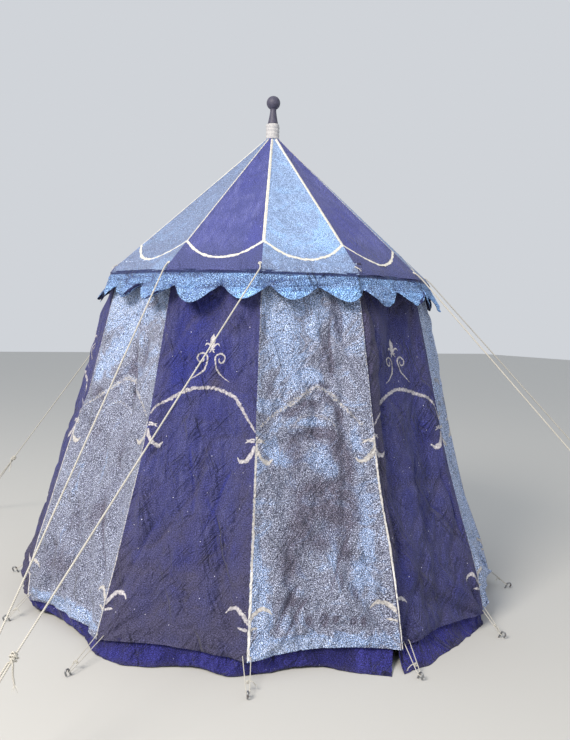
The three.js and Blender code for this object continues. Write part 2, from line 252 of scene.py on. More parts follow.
# Some feet were pegged a little to one side of their bearing: metres to the right, seen from outside.
FOOT_SHIFTS = {10: -0.020, 1: -0.018, 2: 0.045}
# How strongly the grid's columns crowd towards the seams: 0 would space them evenly.
SEAM_CROWDING = 0.25
# Where a lap starts, with u = 1 at the seam.
LAP_START = 0.80
# Each side reads the pattern this many metres on from the last, so that no two look alike.
PATTERN_SHIFT = 3.0


class Side:
    """A side as cloth: u runs from -1 to 1 across it and v from foot to top, more closely by the seams."""

    def __init__(self, panel, foot, top, columns, rows, arch=0.0, lap=0.0, hollow=False):
        self.panel, self.foot, self.arch, self.lap, self.hollow = panel, foot, arch, lap, hollow
        self.length = math.hypot(*(top - foot))
        self.along = (top - foot) / self.length
        even = np.linspace(-1, 1, columns)
        self.u_lines = even * (1 + SEAM_CROWDING - SEAM_CROWDING * even**2)
        self.v_lines = np.linspace(0, 1, rows)
        self.u, self.v = np.meshgrid(self.u_lines, self.v_lines)
        lifted = arch * (1 - self.u**2)
        self.s = lifted + (self.length - lifted) * self.v
        self.x = self.u * self.half(self.s)
        self.height = foot[1] + self.s * self.along[1]
        self.relief = np.zeros_like(self.x)

    def half(self, s):
        """Half the side's width at s up the slope."""
        return (self.foot[0] + self.along[0] * s) * HALF_TAN

    def inward(self, thickness):
        """The step from the outer face to the inner face of the cloth."""
        out, _ = side_axes(self.panel)
        return -thickness * (self.along[1] * out + np.array([0, 0, -self.along[0]]))

    def lining(self, thickness, slack):
        """The step in to a coarser back layer: the thickness at the edges, deeper by the slack inside."""
        from_edge = np.minimum(1 - np.abs(self.u), 2 * np.minimum(self.v, 1 - self.v))
        return self.inward(1.0) * (thickness + slack * eased(from_edge, 0.0, 0.06))[..., None]

    def corner_shift(self, corner, height):
        """How one corner's seam leaves its straight line: in by its hollow, and sideways near its foot."""
        angle = corner * STEP
        out = np.array([math.sin(angle), -math.cos(angle), 0.0])
        across = np.array([math.cos(angle), math.sin(angle), 0.0])
        inset = np.interp(height, HOLLOW_HEIGHTS, HOLLOWS.get(corner % PANELS, USUAL_HOLLOW))
        aside = FOOT_SHIFTS.get(corner % PANELS, 0.0) * eased(height, 1.4, 0.0)
        return aside[..., None] * across - inset[..., None] * out

    def point(self, x, s, proud):
        """x across, s up the slope and proud along the side's normal, as points of the tent."""
        out, across = side_axes(self.panel)
        u = x / self.half(s)
        x = x + self.lap * eased(u, LAP_START, 1.0)
        distance = self.foot[0] + s * self.along[0] + proud * self.along[1]
        height = self.foot[1] + s * self.along[1] - proud * self.along[0]
        up = np.array([0.0, 0.0, 1.0])
        place = x[..., None] * across + distance[..., None] * out + height[..., None] * up
        if self.hollow:
            left = self.corner_shift(self.panel, height) * (0.5 - u / 2)[..., None]
            place = place + left + self.corner_shift(self.panel + 1, height) * (0.5 + u / 2)[..., None]
        return place

    def surface(self):
        """The whole grid as points."""
        return self.point(self.x, self.s, self.relief)

    def on_cloth(self, x, height, lift):
        """Points on the finished relief at x across and a height above ground, lifted off the cloth."""
        s = (height - self.foot[1]) / self.along[1]
        u = x / self.half(s)
        lifted = self.arch * (1 - u**2)
        column = np.interp(u, self.u_lines, np.arange(len(self.u_lines)))
        row = np.clip((s - lifted) / (self.length - lifted), 0, 1) * (len(self.v_lines) - 1)
        left = np.minimum(column.astype(int), len(self.u_lines) - 2)
        low = np.minimum(row.astype(int), len(self.v_lines) - 2)
        a, b = column - left, row - low
        lower = self.relief[low, left] * (1 - a) + self.relief[low, left + 1] * a
        upper = self.relief[low + 1, left] * (1 - a) + self.relief[low + 1, left + 1] * a
        return self.point(x, s, lower * (1 - b) + upper * b + lift)

    def pattern(self, x, s):
        """Where the pattern of the cloth is read: metres on the cloth, with each side on its own stretch."""
        shift = PATTERN_SHIFT * (self.panel + 1)
        return np.stack([x + shift, s + shift / 2, np.zeros_like(x)], axis=-1)


print("a wall is", round(math.hypot(*(wall_top - wall_foot)), 3), "m up its slope")


# %% Put surfaces into meshes
def make_piece(name, points, faces, material, masks):
    """A mesh object from points and faces, with one stored number or vector per point for each mask."""
    mesh = bpy.data.meshes.new(name)
    mesh.from_pydata(points.tolist(), [], faces)
    for label, values in masks.items():
        kind, field = ("FLOAT_VECTOR", "vector") if values.ndim == 2 else ("FLOAT", "value")
        mesh.attributes.new(label, kind, "POINT").data.foreach_set(field, values.astype(np.float32).ravel())
    mesh.materials.append(material)
    mesh.polygons.foreach_set("use_smooth", np.ones(len(mesh.polygons), bool))
    mesh.set_sharp_from_angle(angle=math.radians(55))
    obj = bpy.data.objects.new(name, mesh)
    bpy.context.collection.objects.link(obj)
    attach(obj, "root")
    return obj


def quads(numbers):
    """Four-sided faces between the neighbours of a grid of point numbers, facing the viewer of that grid."""
    corners = (numbers[:-1, :-1], numbers[:-1, 1:], numbers[1:, 1:], numbers[1:, :-1])
    return np.stack(corners, axis=-1).reshape(-1, 4).tolist()


def rim(front, back, every):
    """Faces that close an edge: each takes a few points of the fine front line and two of the back line."""
    starts = np.arange(len(back) - 1) * every
    fine = front[starts[:, None] + np.arange(every, -1, -1)]
    return np.hstack([fine, back[:-1, None], back[1:, None]]).tolist()


def cloth_piece(name, outer, inward, material, slot, every=4, closed=False, **masks):
    """Cloth with a thickness: a fine outer grid, a coarser inner one a step in, and a rim round both."""
    rows, columns = outer.shape[:2]
    inner = (outer + inward)[::every, ::every]
    front = np.arange(rows * columns).reshape(rows, columns)
    back = rows * columns + np.arange(inner.shape[0] * inner.shape[1]).reshape(inner.shape[:2])
    points = np.concatenate([outer.reshape(-1, 3), inner.reshape(-1, 3)])
    if closed:
        front, back = np.hstack([front, front[:, :1]]), np.hstack([back, back[:, :1]])
    faces = quads(front) + quads(back[:, ::-1])
    faces += rim(front[0], back[0], every) + rim(front[-1, ::-1], back[-1, ::-1], every)
    if not closed:
        faces += rim(front[:, -1], back[:, -1], every) + rim(front[::-1, 0], back[::-1, 0], every)
    masks.setdefault("back", np.zeros(outer.shape[:2]))
    stored = {}
    for label, values in masks.items():
        behind = values[::every, ::every] if label != "back" else np.ones(inner.shape[:2])
        width = values.shape[2:]
        stored[label] = np.concatenate([values.reshape(-1, *width), behind.reshape(-1, *width)])
    return make_piece(name, points, faces, material, stored)


print("helpers for cloth are ready")

# %% [markdown]
# ## Painted canvas
#
# The cloth is cotton canvas, woven in a plain weave. The dark panels are dyed a violet blue, and years
# outdoors have streaked them and left a purple brown bloom at the foot. The light panels are the same blue
# canvas rubbed over with silver paint, which broke up into a fine speckle with blue and mouldy brown
# patches. Over both goes cream paint: lines, leaves and scrolls that a brush left with worn edges. Both
# grounds are drawn by noise that is read in metres on the cloth. The real threads are about 1 mm apart and
# the grit of the paint is finer still, too fine to show, so both are drawn about 4 mm wide. The cloth has
# been packed many times, so it has sharp creases at two angles, deep in some places and faint in others.
# They are a bump, because they are finer than the grid.

# %% Grounds of the two kinds of canvas
# Sizes of the patterns, in metres on the cloth.
THREAD = 0.004
GRIT = 0.0042
SPECKLE = 0.0062
FLECK = 0.014
SWIRL = 0.050
CLOUD = 0.16
STREAK_WIDTH = 0.030
STREAK_LENGTH = 0.15
# Drops of paint lie at most one to a cell: the cell's size, a drop's radius in
# cells, and the share without one.
SPATTER = 0.045
DROP_RADIUS = 0.045
DROP_RARITY = 0.93
# Creases: how far apart they are, how many times longer than that, and how they lean, in degrees.
CREASE_GAP = 0.075
CREASE_LENGTH = 3.6
CREASE_LEAN, CROSSING_LEAN = 24, -38
# At a scale of one the wave texture repeats each time its coordinate grows by this much.
WAVE_PERIOD = 0.314


def mask_of(tree, name):
    """A stored mask of the cloth, as a node output."""
    return add(tree, "Attribute", out="Fac", attribute_name=name)


def silvered_ground(tree, place, tones):
    """Grey and blue clouds browned by mould and painted shade, under silver speckle and dark flecks, shaded
    by swirls.
    """
    noise = {"Vector": place, "Scale": 1 / CLOUD, "Detail": 4.0, "Roughness": 0.74, "Distortion": 1.6}
    cloud = add(tree, "TexNoise", noise, noise_dimensions="2D")
    noise = {"Vector": place, "Scale": 1 / SPECKLE, "Detail": 3.0, "Roughness": 0.8}
    speckle = add(tree, "TexNoise", noise, noise_dimensions="2D")
    noise = {"Vector": place, "Scale": 1 / FLECK, "Detail": 2.0, "Roughness": 0.6, "Distortion": 0.4}
    fleck = add(tree, "TexNoise", noise, noise_dimensions="2D")
    stain, bright = mask_of(tree, "stain"), mask_of(tree, "bright")
    # The bright mask also carries painted light: the tops of two light walls under the valance, the whole of
    # one light wall, and patches of the valance's lobes.
    cloudy = add(tree, "Math", {0: bright, 1: 0.35, 2: cloud}, operation="MULTIPLY_ADD")
    is_blue = add(tree, "MapRange", {"Value": cloudy, "From Min": 0.53, "From Max": 0.70})
    ground = add(tree, "Mix", {0: is_blue, 6: tones["grey"], 7: tones["blue"]}, 2, data_type="RGBA")
    # The stain mask also carries painted shade in creases, along folds and at the valance's cusps, which
    # turns to the brown tone as the mould does.
    cloudy = add(tree, "Math", {0: stain, 1: 0.6, 2: cloud}, operation="MULTIPLY_ADD")
    is_brown_and_shaded = add(tree, "MapRange", {"Value": cloudy, "From Min": 0.66, "From Max": 0.96, "To Max": 0.78})
    ground = add(tree, "Mix", {0: is_brown_and_shaded, 6: ground, 7: tones["brown"]}, 2, data_type="RGBA")
    amount = add(tree, "Math", {0: cloud, 1: 0.30, 2: speckle}, operation="MULTIPLY_ADD")
    amount = add(tree, "Math", {0: is_brown_and_shaded, 1: -0.16, 2: amount}, operation="MULTIPLY_ADD")
    amount = add(tree, "Math", {0: bright, 1: 0.07, 2: amount}, operation="MULTIPLY_ADD")
    is_silver = add(tree, "MapRange", {"Value": amount, "From Min": 0.57, "From Max": 0.85, "To Max": 0.85})
    ground = add(tree, "Mix", {0: is_silver, 6: ground, 7: tones["silver"]}, 2, data_type="RGBA")
    is_dark = add(tree, "MapRange", {"Value": fleck, "From Min": 0.42, "From Max": 0.30, "To Max": 0.75})
    ground = add(tree, "Mix", {0: is_dark, 6: ground, 7: tones["dark"]}, 2, data_type="RGBA")
    noise = {"Vector": place, "Scale": 1 / SWIRL, "Detail": 2.0, "Distortion": 2.5}
    swirl = add(tree, "TexNoise", noise, noise_dimensions="2D")
    shade = {"Value": swirl, "From Min": 0.34, "From Max": 0.66, "To Min": 0.84, "To Max": 1.13}
    ground = add(tree, "VectorMath", {0: ground, "Scale": add(tree, "MapRange", shade)}, operation="SCALE")
    return ground, speckle


def dyed_ground(tree, place, tones):
    """Violet blue with long streaks up the cloth, deeper clouds, grime with painted shade and light, and a
    few drops of pale paint.
    """
    stretched = add(tree, "Mapping", {"Vector": place, "Scale": (1, STREAK_WIDTH / STREAK_LENGTH, 1)})
    noise = {"Vector": stretched, "Scale": 1 / STREAK_WIDTH}
    noise |= {"Detail": 4.0, "Roughness": 0.7, "Distortion": 0.6}
    streak = add(tree, "TexNoise", noise, noise_dimensions="2D")
    noise = {"Vector": place, "Scale": 1 / CLOUD, "Detail": 5.0, "Roughness": 0.65}
    cloud = add(tree, "TexNoise", noise, noise_dimensions="2D")
    noise = {"Vector": place, "Scale": 1 / SPECKLE, "Detail": 3.0, "Roughness": 0.8}
    speckle = add(tree, "TexNoise", noise, noise_dimensions="2D")
    stain, bright = mask_of(tree, "stain"), mask_of(tree, "bright")
    is_streak = add(tree, "MapRange", {"Value": streak, "From Min": 0.36, "From Max": 0.64})
    ground = add(tree, "Mix", {0: is_streak, 6: tones["dye"], 7: tones["faded"]}, 2, data_type="RGBA")
    # The bright mask also carries painted shadow lines along folds, which deepen the blue, and painted light
    # at the top of the wall by the door, where it is negative.
    cloudy = add(tree, "Math", {0: bright, 1: 0.5, 2: cloud}, operation="MULTIPLY_ADD")
    is_deep = add(tree, "MapRange", {"Value": cloudy, "From Min": 0.50, "From Max": 0.72, "To Max": 0.8})
    ground = add(tree, "Mix", {0: is_deep, 6: ground, 7: tones["deep"]}, 2, data_type="RGBA")
    # The stain mask also carries painted shade in creases, at the foot and beside the door, and painted
    # light at the top of the wall by the door; all turn to the grime tone.
    cloudy = add(tree, "Math", {0: stain, 1: 1.0, 2: cloud}, operation="MULTIPLY_ADD")
    is_grimy_and_shaded = add(tree, "MapRange", {"Value": cloudy, "From Min": 0.48, "From Max": 1.05, "To Max": 0.95})
    ground = add(tree, "Mix", {0: is_grimy_and_shaded, 6: ground, 7: tones["grime"]}, 2, data_type="RGBA")
    drops = {"Vector": place, "Scale": 1 / SPATTER}
    distance = add(tree, "TexVoronoi", drops, voronoi_dimensions="2D")
    chance = add(tree, "TexVoronoi", drops, out="Color", voronoi_dimensions="2D")
    chance = add(tree, "SeparateColor", {0: chance})
    is_drop = add(tree, "Math", {0: distance, 1: DROP_RADIUS}, operation="LESS_THAN")
    is_kept = add(tree, "Math", {0: chance, 1: DROP_RARITY}, operation="GREATER_THAN")
    is_drop = add(tree, "Math", {0: is_drop, 1: is_kept}, operation="MULTIPLY")
    ground = add(tree, "Mix", {0: is_drop, 6: ground, 7: tones["drop"]}, 2, data_type="RGBA")
    return ground, speckle


print("weave drawn", 1000 * THREAD, "mm apart, speckle", 1000 * SPECKLE, "mm wide")


# %% The canvas materials
def crease_height(tree, place, lean, gap):
    """Creases a gap apart at a lean in degrees: how far smooth noise, drawn out long, is from a half."""
    stretch = {"Rotation": (0, 0, math.radians(lean)), "Scale": (gap, gap * CREASE_LENGTH, 1)}
    leaning = add(tree, "Mapping", {"Vector": place, **stretch}, vector_type="TEXTURE")
    noise = {"Vector": leaning, "Scale": 1.0, "Detail": 1.0, "Distortion": 0.9}
    noise = add(tree, "TexNoise", noise, noise_dimensions="2D")
    centred = add(tree, "Math", {0: noise, 1: 0.5}, operation="SUBTRACT")
    return add(tree, "Math", {0: centred}, operation="ABSOLUTE")


def canvas(name, ground_of, tones, brush, back, grain=0.5, grit=0.5, crumple=0.04, edge=0.45):
    """Cotton canvas: its ground and grain, cream brushwork by the paint mask, a plain back, and bumps."""
    material, tree, shader = new_material(name, Roughness=0.86, Specular_IOR_Level=0.25, Sheen_Weight=0.08)
    place = add(tree, "Attribute", out="Vector", attribute_name="cloth")
    linear = {label: colour(code) for label, code in tones.items()}
    ground, speckle = ground_of(tree, place, linear)
    coarse = {"Value": speckle, "From Min": 0.34, "From Max": 0.66, "To Min": 1 - grain, "To Max": 1 + grain}
    ground = add(tree, "VectorMath", {0: ground, "Scale": add(tree, "MapRange", coarse)}, operation="SCALE")
    fine = add(tree, "TexNoise", {"Vector": place, "Scale": 1 / GRIT, "Detail": 0.0}, noise_dimensions="2D")
    fine = {"Value": fine, "From Min": 0.30, "From Max": 0.70, "To Min": 1 - grit, "To Max": 1 + grit}
    ground = add(tree, "VectorMath", {0: ground, "Scale": add(tree, "MapRange", fine)}, operation="SCALE")
    paint = mask_of(tree, "paint")
    noise = {"Vector": place, "Scale": 1 / (1.6 * SPECKLE), "Detail": 3.0, "Roughness": 0.7}
    wear = add(tree, "TexNoise", noise, noise_dimensions="2D")
    cover = add(tree, "Math", {0: paint, 1: 0.9, 2: wear}, operation="MULTIPLY_ADD")
    cover = add(tree, "MapRange", {"Value": cover, "From Min": edge + 0.45, "From Max": edge + 0.62})
    has_paint = add(tree, "Math", {0: paint, 1: 0.02}, operation="GREATER_THAN")
    cover = add(tree, "Math", {0: cover, 1: has_paint}, operation="MULTIPLY")
    thin, thick = (colour(code) for code in brush)
    load = add(tree, "Math", {0: wear, 1: 1.6, 2: paint}, operation="MULTIPLY_ADD")
    load = add(tree, "MapRange", {"Value": load, "From Min": 1.30, "From Max": 2.10})
    stroke = add(tree, "Mix", {0: load, 6: thin, 7: thick}, 2, data_type="RGBA")
    ground = add(tree, "Mix", {0: cover, 6: ground, 7: stroke}, 2, data_type="RGBA")
    ground = add(tree, "Mix", {0: mask_of(tree, "back"), 6: ground, 7: colour(back)}, 2, data_type="RGBA")
    warp = add(tree, "TexWave", {"Vector": place, "Scale": WAVE_PERIOD / THREAD}, 1, bands_direction="X")
    weft = add(tree, "TexWave", {"Vector": place, "Scale": WAVE_PERIOD / THREAD}, 1, bands_direction="Y")
    weave = add(tree, "Math", {0: warp, 1: weft}, operation="ADD")
    height = add(tree, "Math", {0: weave, 1: 0.25, 2: speckle}, operation="MULTIPLY_ADD")
    leaning = crease_height(tree, place, CREASE_LEAN, CREASE_GAP)
    crossing = crease_height(tree, place, CROSSING_LEAN, CREASE_GAP * 0.6)
    crumpled = add(tree, "Math", {0: crossing, 1: 0.6, 2: leaning}, operation="MULTIPLY_ADD")
    noise = {"Vector": place, "Scale": 0.9 / CLOUD, "Detail": 2.0}
    used = add(tree, "TexNoise", noise, noise_dimensions="2D")
    used = add(tree, "MapRange", {"Value": used, "From Min": 0.38, "From Max": 0.66, "To Min": 0.15})
    crumpled = add(tree, "Math", {0: crumpled, 1: used}, operation="MULTIPLY")
    bump = add(tree, "Bump", {"Height": crumpled, "Strength": 1.0, "Distance": crumple})
    bump = add(tree, "Bump", {"Height": height, "Strength": 0.5, "Distance": 0.0015, "Normal": bump})
    tree.links.new(ground, shader.inputs["Base Color"])
    tree.links.new(bump, shader.inputs["Normal"])
    return material


# Cream paint, thinly and thickly laid, on the dark walls, the light walls and the roof.
WALL_BRUSH = ("#8a8694", "#e4e1e2")
LIGHT_BRUSH = ("#aaa5a2", "#ecebea")
ROOF_BRUSH = ("#c4c2bc", "#fbf8ea")

wall_dyed = canvas(
    "dyed cotton canvas, wall",
    dyed_ground,
    {"dye": "#35386e", "faded": "#47497a", "deep": "#2a307c", "grime": "#46445f", "drop": "#c8c8dc"},
    WALL_BRUSH,
    "#33315a",
    grain=0.55,
    grit=0.45,
    crumple=0.070,
)
wall_silvered = canvas(
    "silver-painted cotton canvas, wall",
    silvered_ground,
    {"grey": "#696d85", "blue": "#7091c6", "brown": "#585364", "silver": "#bcc4d8", "dark": "#3f4258"},
    LIGHT_BRUSH,
    "#5b6487",
    grain=0.40,
    grit=0.80,
    crumple=0.044,
)
roof_dyed = canvas(
    "dyed cotton canvas, roof",
    dyed_ground,
    {"dye": "#4e5395", "faded": "#6267a4", "deep": "#494e97", "grime": "#4a5080", "drop": "#a9aed4"},
    ROOF_BRUSH,
    "#3d3b70",
    grain=0.42,
    grit=0.38,
    crumple=0.022,
)
roof_silvered = canvas(
    "silver-painted cotton canvas, roof",
    silvered_ground,
    {"grey": "#849cc8", "blue": "#82ade8", "brown": "#6c7490", "silver": "#b0ccf0", "dark": "#6c84b0"},
    ROOF_BRUSH,
    "#5b6487",
    grain=0.26,
    grit=0.36,
    crumple=0.012,
)
valance_painted = canvas(
    "light blue painted canvas, valance",
    silvered_ground,
    {"grey": "#5873a4", "blue": "#649de2", "brown": "#4c5a80", "silver": "#a6c8f2", "dark": "#365294"},
    WALL_BRUSH,
    # The back is near black: the cloth's own dark blue back, darkened further as painted shade where the
    # rolled scallops and the band under the eave show it.
    "#1f2552",
    grain=0.50,
    grit=0.75,
    crumple=0.050,
)
skirt_dyed = canvas(
    "ultramarine cotton canvas, mud skirt",
    dyed_ground,
    {"dye": "#29296c", "faded": "#383884", "deep": "#1f1f56", "grime": "#34324e", "drop": "#b4b4d8"},
    WALL_BRUSH,
    "#1c1b44",
    grain=0.60,
    grit=0.60,
    crumple=0.090,
)
# Finish and slot of a dark panel, then of a light one.
ROOF_FINISHES = ((roof_dyed, "roof_dark"), (roof_silvered, "roof_light"))
WALL_FINISHES = ((wall_dyed, "wall_dark"), (wall_silvered, "wall_light"))
print("six canvases are ready")

# %% [markdown]
# ## Roof gores
#
# Twelve gores are sewn into a cone. Each sags a few millimetres between its seams, and the weather
# has left slack creases that run with the slope. At the eave the cloth turns down in a hem, which
# throws a thin shadow on the valance.

# %% Roof cloth
ROOF_CLOTH = 0.004
ROOF_SLACK = 0.004
ROOF_SAG = 0.009
EAVE_LIP = 0.010
# How strongly the whole of a gore is stained, by panel, and a usual one.
GORE_WEAR = {9: 0.75, 1: 0.4, 5: 0.5}
USUAL_WEAR = 0.1


def roof_relief(side):
    """Sag, a parabola across times half a wave up, plus noise drawn out up the slope, zero at the seams."""
    seam_free = eased(1 - np.abs(side.u), 0, 0.22)
    sag = -ROOF_SAG * (1 - side.u**2) * np.sin(math.pi * np.clip(side.v, 0, 1)) ** 0.7
    slack = 0.0035 * ripple(side.x / 0.11, side.s / 0.5, side.panel + 20)
    fine = 0.0016 * crease(side.x / 0.09 + side.s / 0.2, side.s / 0.33, side.panel + 40)
    wavy_eave = 0.006 * ripple(side.x / 0.12, side.s / 0.3, side.panel + 60) * eased(side.s, 0.2, 0)
    return sag + seam_free * (slack + fine + wavy_eave)


roof_sides = []
for panel in range(PANELS):
    side = Side(panel, roof_foot, roof_top, columns=37, rows=101)
    side.relief = roof_relief(side)
    finish, slot = ROOF_FINISHES[panel % 2]
    outer = side.surface()
    lip = eased(side.s, 0.030, 0) * EAVE_LIP
    outer[..., 2] -= lip
    weathered = GORE_WEAR.get(panel, USUAL_WEAR) + 0.5 * eased(side.s, 0.35, 0)
    weathered += 0.2 * eased(np.abs(side.u), 0.7, 1)
    patches = eased(ripple(side.x / 0.2, side.s / 0.25, side.panel + 5), 0.1, 0.7)
    roof_gore = cloth_piece(
        f"roof_gore_{panel + 1:02d}",
        outer,
        side.lining(ROOF_CLOTH, ROOF_SLACK),
        finish,
        slot,
        cloth=side.pattern(side.x, side.s),
        stain=weathered,
        bright=patches,
    )
    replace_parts(roof_gore, f"roof_panel_{panel + 1:02d}")
    roof_sides.append((side, roof_gore))
gore_width = 2 * roof_sides[0][0].half(0)
gore_length = roof_sides[0][0].length
gore_area = (gore_width / 2 + roof_sides[0][0].half(gore_length)) * gore_length
print("each gore is cut", round(gore_width, 3), "by", round(gore_length, 3), "m, area", round(gore_area, 3))

# %% [markdown]
# ## Wall panels
#
# The walls hang from the eave and are pegged down at the corners of the hem. So they are drawn tight along
# the seams, bow in between them, gather a little under the eave, and throw folds that fan out from each
# pegged corner. The hem lifts in the middle of each side. The door is the seam where the light panel laps
# over the dark one, and the dark panel has a long pleat just inside it. The four panels that face the eye
# also have long folds of their own, with a painted shadow line along the bottom of each, so their grid is
# finer.

# %% Folds of a wall
WALL_CLOTH = 0.003
WALL_SLACK = 0.012
# How far a wall bows in between its seams, and by panel where it doesn't: these two belly out.
WALL_BOW = 0.014
WALL_BOWS = {8: -0.045, 2: -0.012}
# How far the hem lifts between two pegs, and by panel where it lifts by less or more.
HEM_ARCH = 0.022
HEM_ARCHES = {11: 0.034, 10: 0.020}
HEM_FOLD = 0.085
# Panels at the door, the light panel to the left of them, and the light one to the right, which is lightened
# all over as painted light.
DOOR_LIGHT, DOOR_DARK = 11, 0
SIDE_LIGHT, PAINTED_LIT_PANEL = 9, 1
# Half width of the painted shadow line along the bottom of a long fold.
FOLD_LINE = 0.007
# Folds that stay in the cloth where the eye can follow them: their two ends in metres across and up, then
# the depth and half width of each, by panel.
LONG_FOLDS = {
    11: (
        (-0.10, 0.42, -0.26, 0.13, 0.018, 0.016),
        (-0.05, 0.36, -0.23, 0.10, 0.010, 0.012),
        (0.10, 1.70, 0.105, 1.30, 0.010, 0.016),
        (0.16, 0.62, 0.02, 0.30, 0.009, 0.016),
    ),
    0: (
        (0.10, 0.98, -0.03, 0.60, 0.009, 0.011),
        (0.25, 0.90, 0.345, 0.36, 0.016, 0.014),
        (-0.23, 0.84, -0.29, 0.58, 0.010, 0.010),
        (0.08, 0.80, 0.34, 0.40, 0.011, 0.015),
    ),
    10: (
        (0.04, 0.84, 0.18, 0.55, 0.011, 0.014),
        (-0.12, 1.58, -0.12, 1.30, 0.010, 0.013),
        (-0.06, 1.05, 0.02, 0.62, 0.010, 0.015),
        (0.34, 0.20, 0.10, 0.66, 0.014, 0.015),
        (-0.34, 0.22, -0.14, 0.70, 0.012, 0.015),
        (0.20, 0.95, 0.06, 0.55, 0.009, 0.012),
    ),
    9: ((0.30, 0.22, 0.08, 0.70, 0.013, 0.016), (0.02, 1.60, 0.10, 1.10, 0.010, 0.015)),
}


def corner_folds(side, sign, seed):
    """Folds that fan from a pegged corner: a wave in the angle from the seam, dying out along the way."""
    inward = side.half(0.0) - sign * side.x
    reach = np.hypot(inward, side.s)
    angle = np.arctan2(inward, side.s + 0.02)
    wave = ripple(angle * 4.2, reach / 0.9, seed) + 0.5 * ripple(angle * 9.0, reach / 0.6, seed + 1)
    return wave * np.exp(-reach / 0.60) * eased(reach, 0.02, 0.14)


def long_folds(side):
    """Each fold is a valley: depth times exp of minus the squared distance off its line, with eased ends.

    A painted shadow line darkens its bottom, so a narrower line with the same ends comes back as well.
    """
    total, fold_shadow = np.zeros_like(side.x), np.zeros_like(side.x)
    for x0, z0, x1, z1, depth, wide in LONG_FOLDS.get(side.panel, ()):
        run, rise = x1 - x0, z1 - z0
        length = math.hypot(run, rise)
        part = ((side.x - x0) * run + (side.height - z0) * rise) / length**2
        off = ((side.x - x0) * rise - (side.height - z0) * run) / length
        off = off + 0.012 * ripple(part * 3, part * 0, side.panel + 80)
        ends = eased(part, 0, 0.25) * eased(part, 1, 0.75)
        total -= depth * np.exp(-((off / wide) ** 2)) * ends
        fold_shadow += np.exp(-((off / FOLD_LINE) ** 2)) * ends
    return total, fold_shadow


def wall_relief(side):
    """Bow, drapes, corner folds, gathers under the eave, a turned hem and two sizes of crease.

    With them come how sharply the cloth is creased, which is used as painted shade in the creases, and the
    painted shadow lines of the long folds.
    """
    seed = side.panel * 7
    loose = 1.0 if side.panel % 2 else 1.3
    seam_free = eased(1 - np.abs(side.u), 0, 0.16)
    depth = WALL_BOWS.get(side.panel, WALL_BOW)
    bow = -depth * (1 - side.u**2) * np.sin(math.pi * np.clip(side.v, 0, 1)) ** 0.6
    warp = 0.5 * ripple(side.x / 0.25, side.s / 0.40, seed + 8)
    drape = 0.020 * loose * ripple(side.x / 0.13 + warp, side.s / 0.80, seed)
    narrow = 0.009 * loose * ripple(side.x / 0.05 + warp, side.s / 0.55, seed + 9)
    fans = 0.032 * (corner_folds(side, 1, seed + 1) + corner_folds(side, -1, seed + 3))
    gathers = 0.010 * ripple(side.x / 0.035, side.s / 0.5, seed + 2) * np.exp((side.s - side.length) / 0.22)
    bent = side.x + 0.35 * side.s * (1 if seed % 2 else -1)
    large = crease(bent / 0.20 + warp, side.s / 0.30, seed + 4)
    small = crease((side.x - 0.5 * side.s) / 0.10, side.s / 0.13 + warp, seed + 5)
    # How sharply the cloth is creased, later painted into the creases as shade.
    crease_shade = -seam_free * (0.6 * large**3 + 0.4 * small**3)
    puckers = 0.0030 * ripple(side.x / 0.022, side.s / 0.10, seed + 6) * np.exp(-side.s / 0.10)
    turned_hem = 0.0015 * eased(side.s - side.arch * (1 - side.u**2), HEM_FOLD + 0.004, HEM_FOLD - 0.004)
    long_valleys, fold_shadow = long_folds(side)
    folds = drape + narrow + fans + gathers + 0.013 * large + 0.007 * small + puckers + long_valleys
    folds *= seam_free * eased(side.length - side.s, 0.0, 0.08)
    # Under the valance no fold stands out, so that the scallops hang clear of the wall.
    folds -= np.maximum(folds, 0) * eased(side.height, 1.62, 1.74)
    return bow + turned_hem + folds, crease_shade, fold_shadow


# The pleat's line: heights, and at each of them how far across it lies, as u. Then how far its cloth rises.
PLEAT_HEIGHTS = (0.10, 0.47, 0.88, 1.13, 1.48, 1.74, 1.86)
PLEAT_PARTS = (-0.96, -0.885, -0.677, -0.625, -0.629, -0.80, -0.80)
PLEAT_DEPTH = 0.014


def pleat(side):
    """The long pleat beside the door: cloth rises towards the fold line and drops back sharply behind it."""
    line = np.interp(side.height, PLEAT_HEIGHTS, PLEAT_PARTS) * side.half(side.s)
    before = line - side.x
    return PLEAT_DEPTH * eased(before, 0.085, 0.004) * eased(before, -0.006, 0.004)


print("walls bow in", 1000 * WALL_BOW, "mm and the hem lifts", 1000 * HEM_ARCH, "mm between pegs")

# %% [markdown]
# Stains are part of how the cloth reads from afar. They are soft round blots, given one by one as where they
# lie on the panel, in metres across and up, how far they spread and how strong they are. The two light
# panels that face the eye have blots of their own, and every other panel draws its own from a seeded
# generator.


# %% Stains and bright patches
def blots(side, places):
    """A sum of round blots: strength times exp of minus the squared distance over the spread squared."""
    total = np.zeros_like(side.x)
    for across, up, wide, tall, strength in places:
        total += strength * np.exp(-(((side.x - across) / wide) ** 2) - ((side.height - up) / tall) ** 2)
    return total


def drawn_blots(seed, count, strength):
    """Blots for a panel that has none of its own, from a seeded generator."""
    draw = np.random.default_rng(seed)
    low, high = (-0.22, 0.2, 0.04, 0.05), (0.22, 1.75, 0.10, 0.16)
    return [(*draw.uniform(low, high), strength) for _ in range(count)]


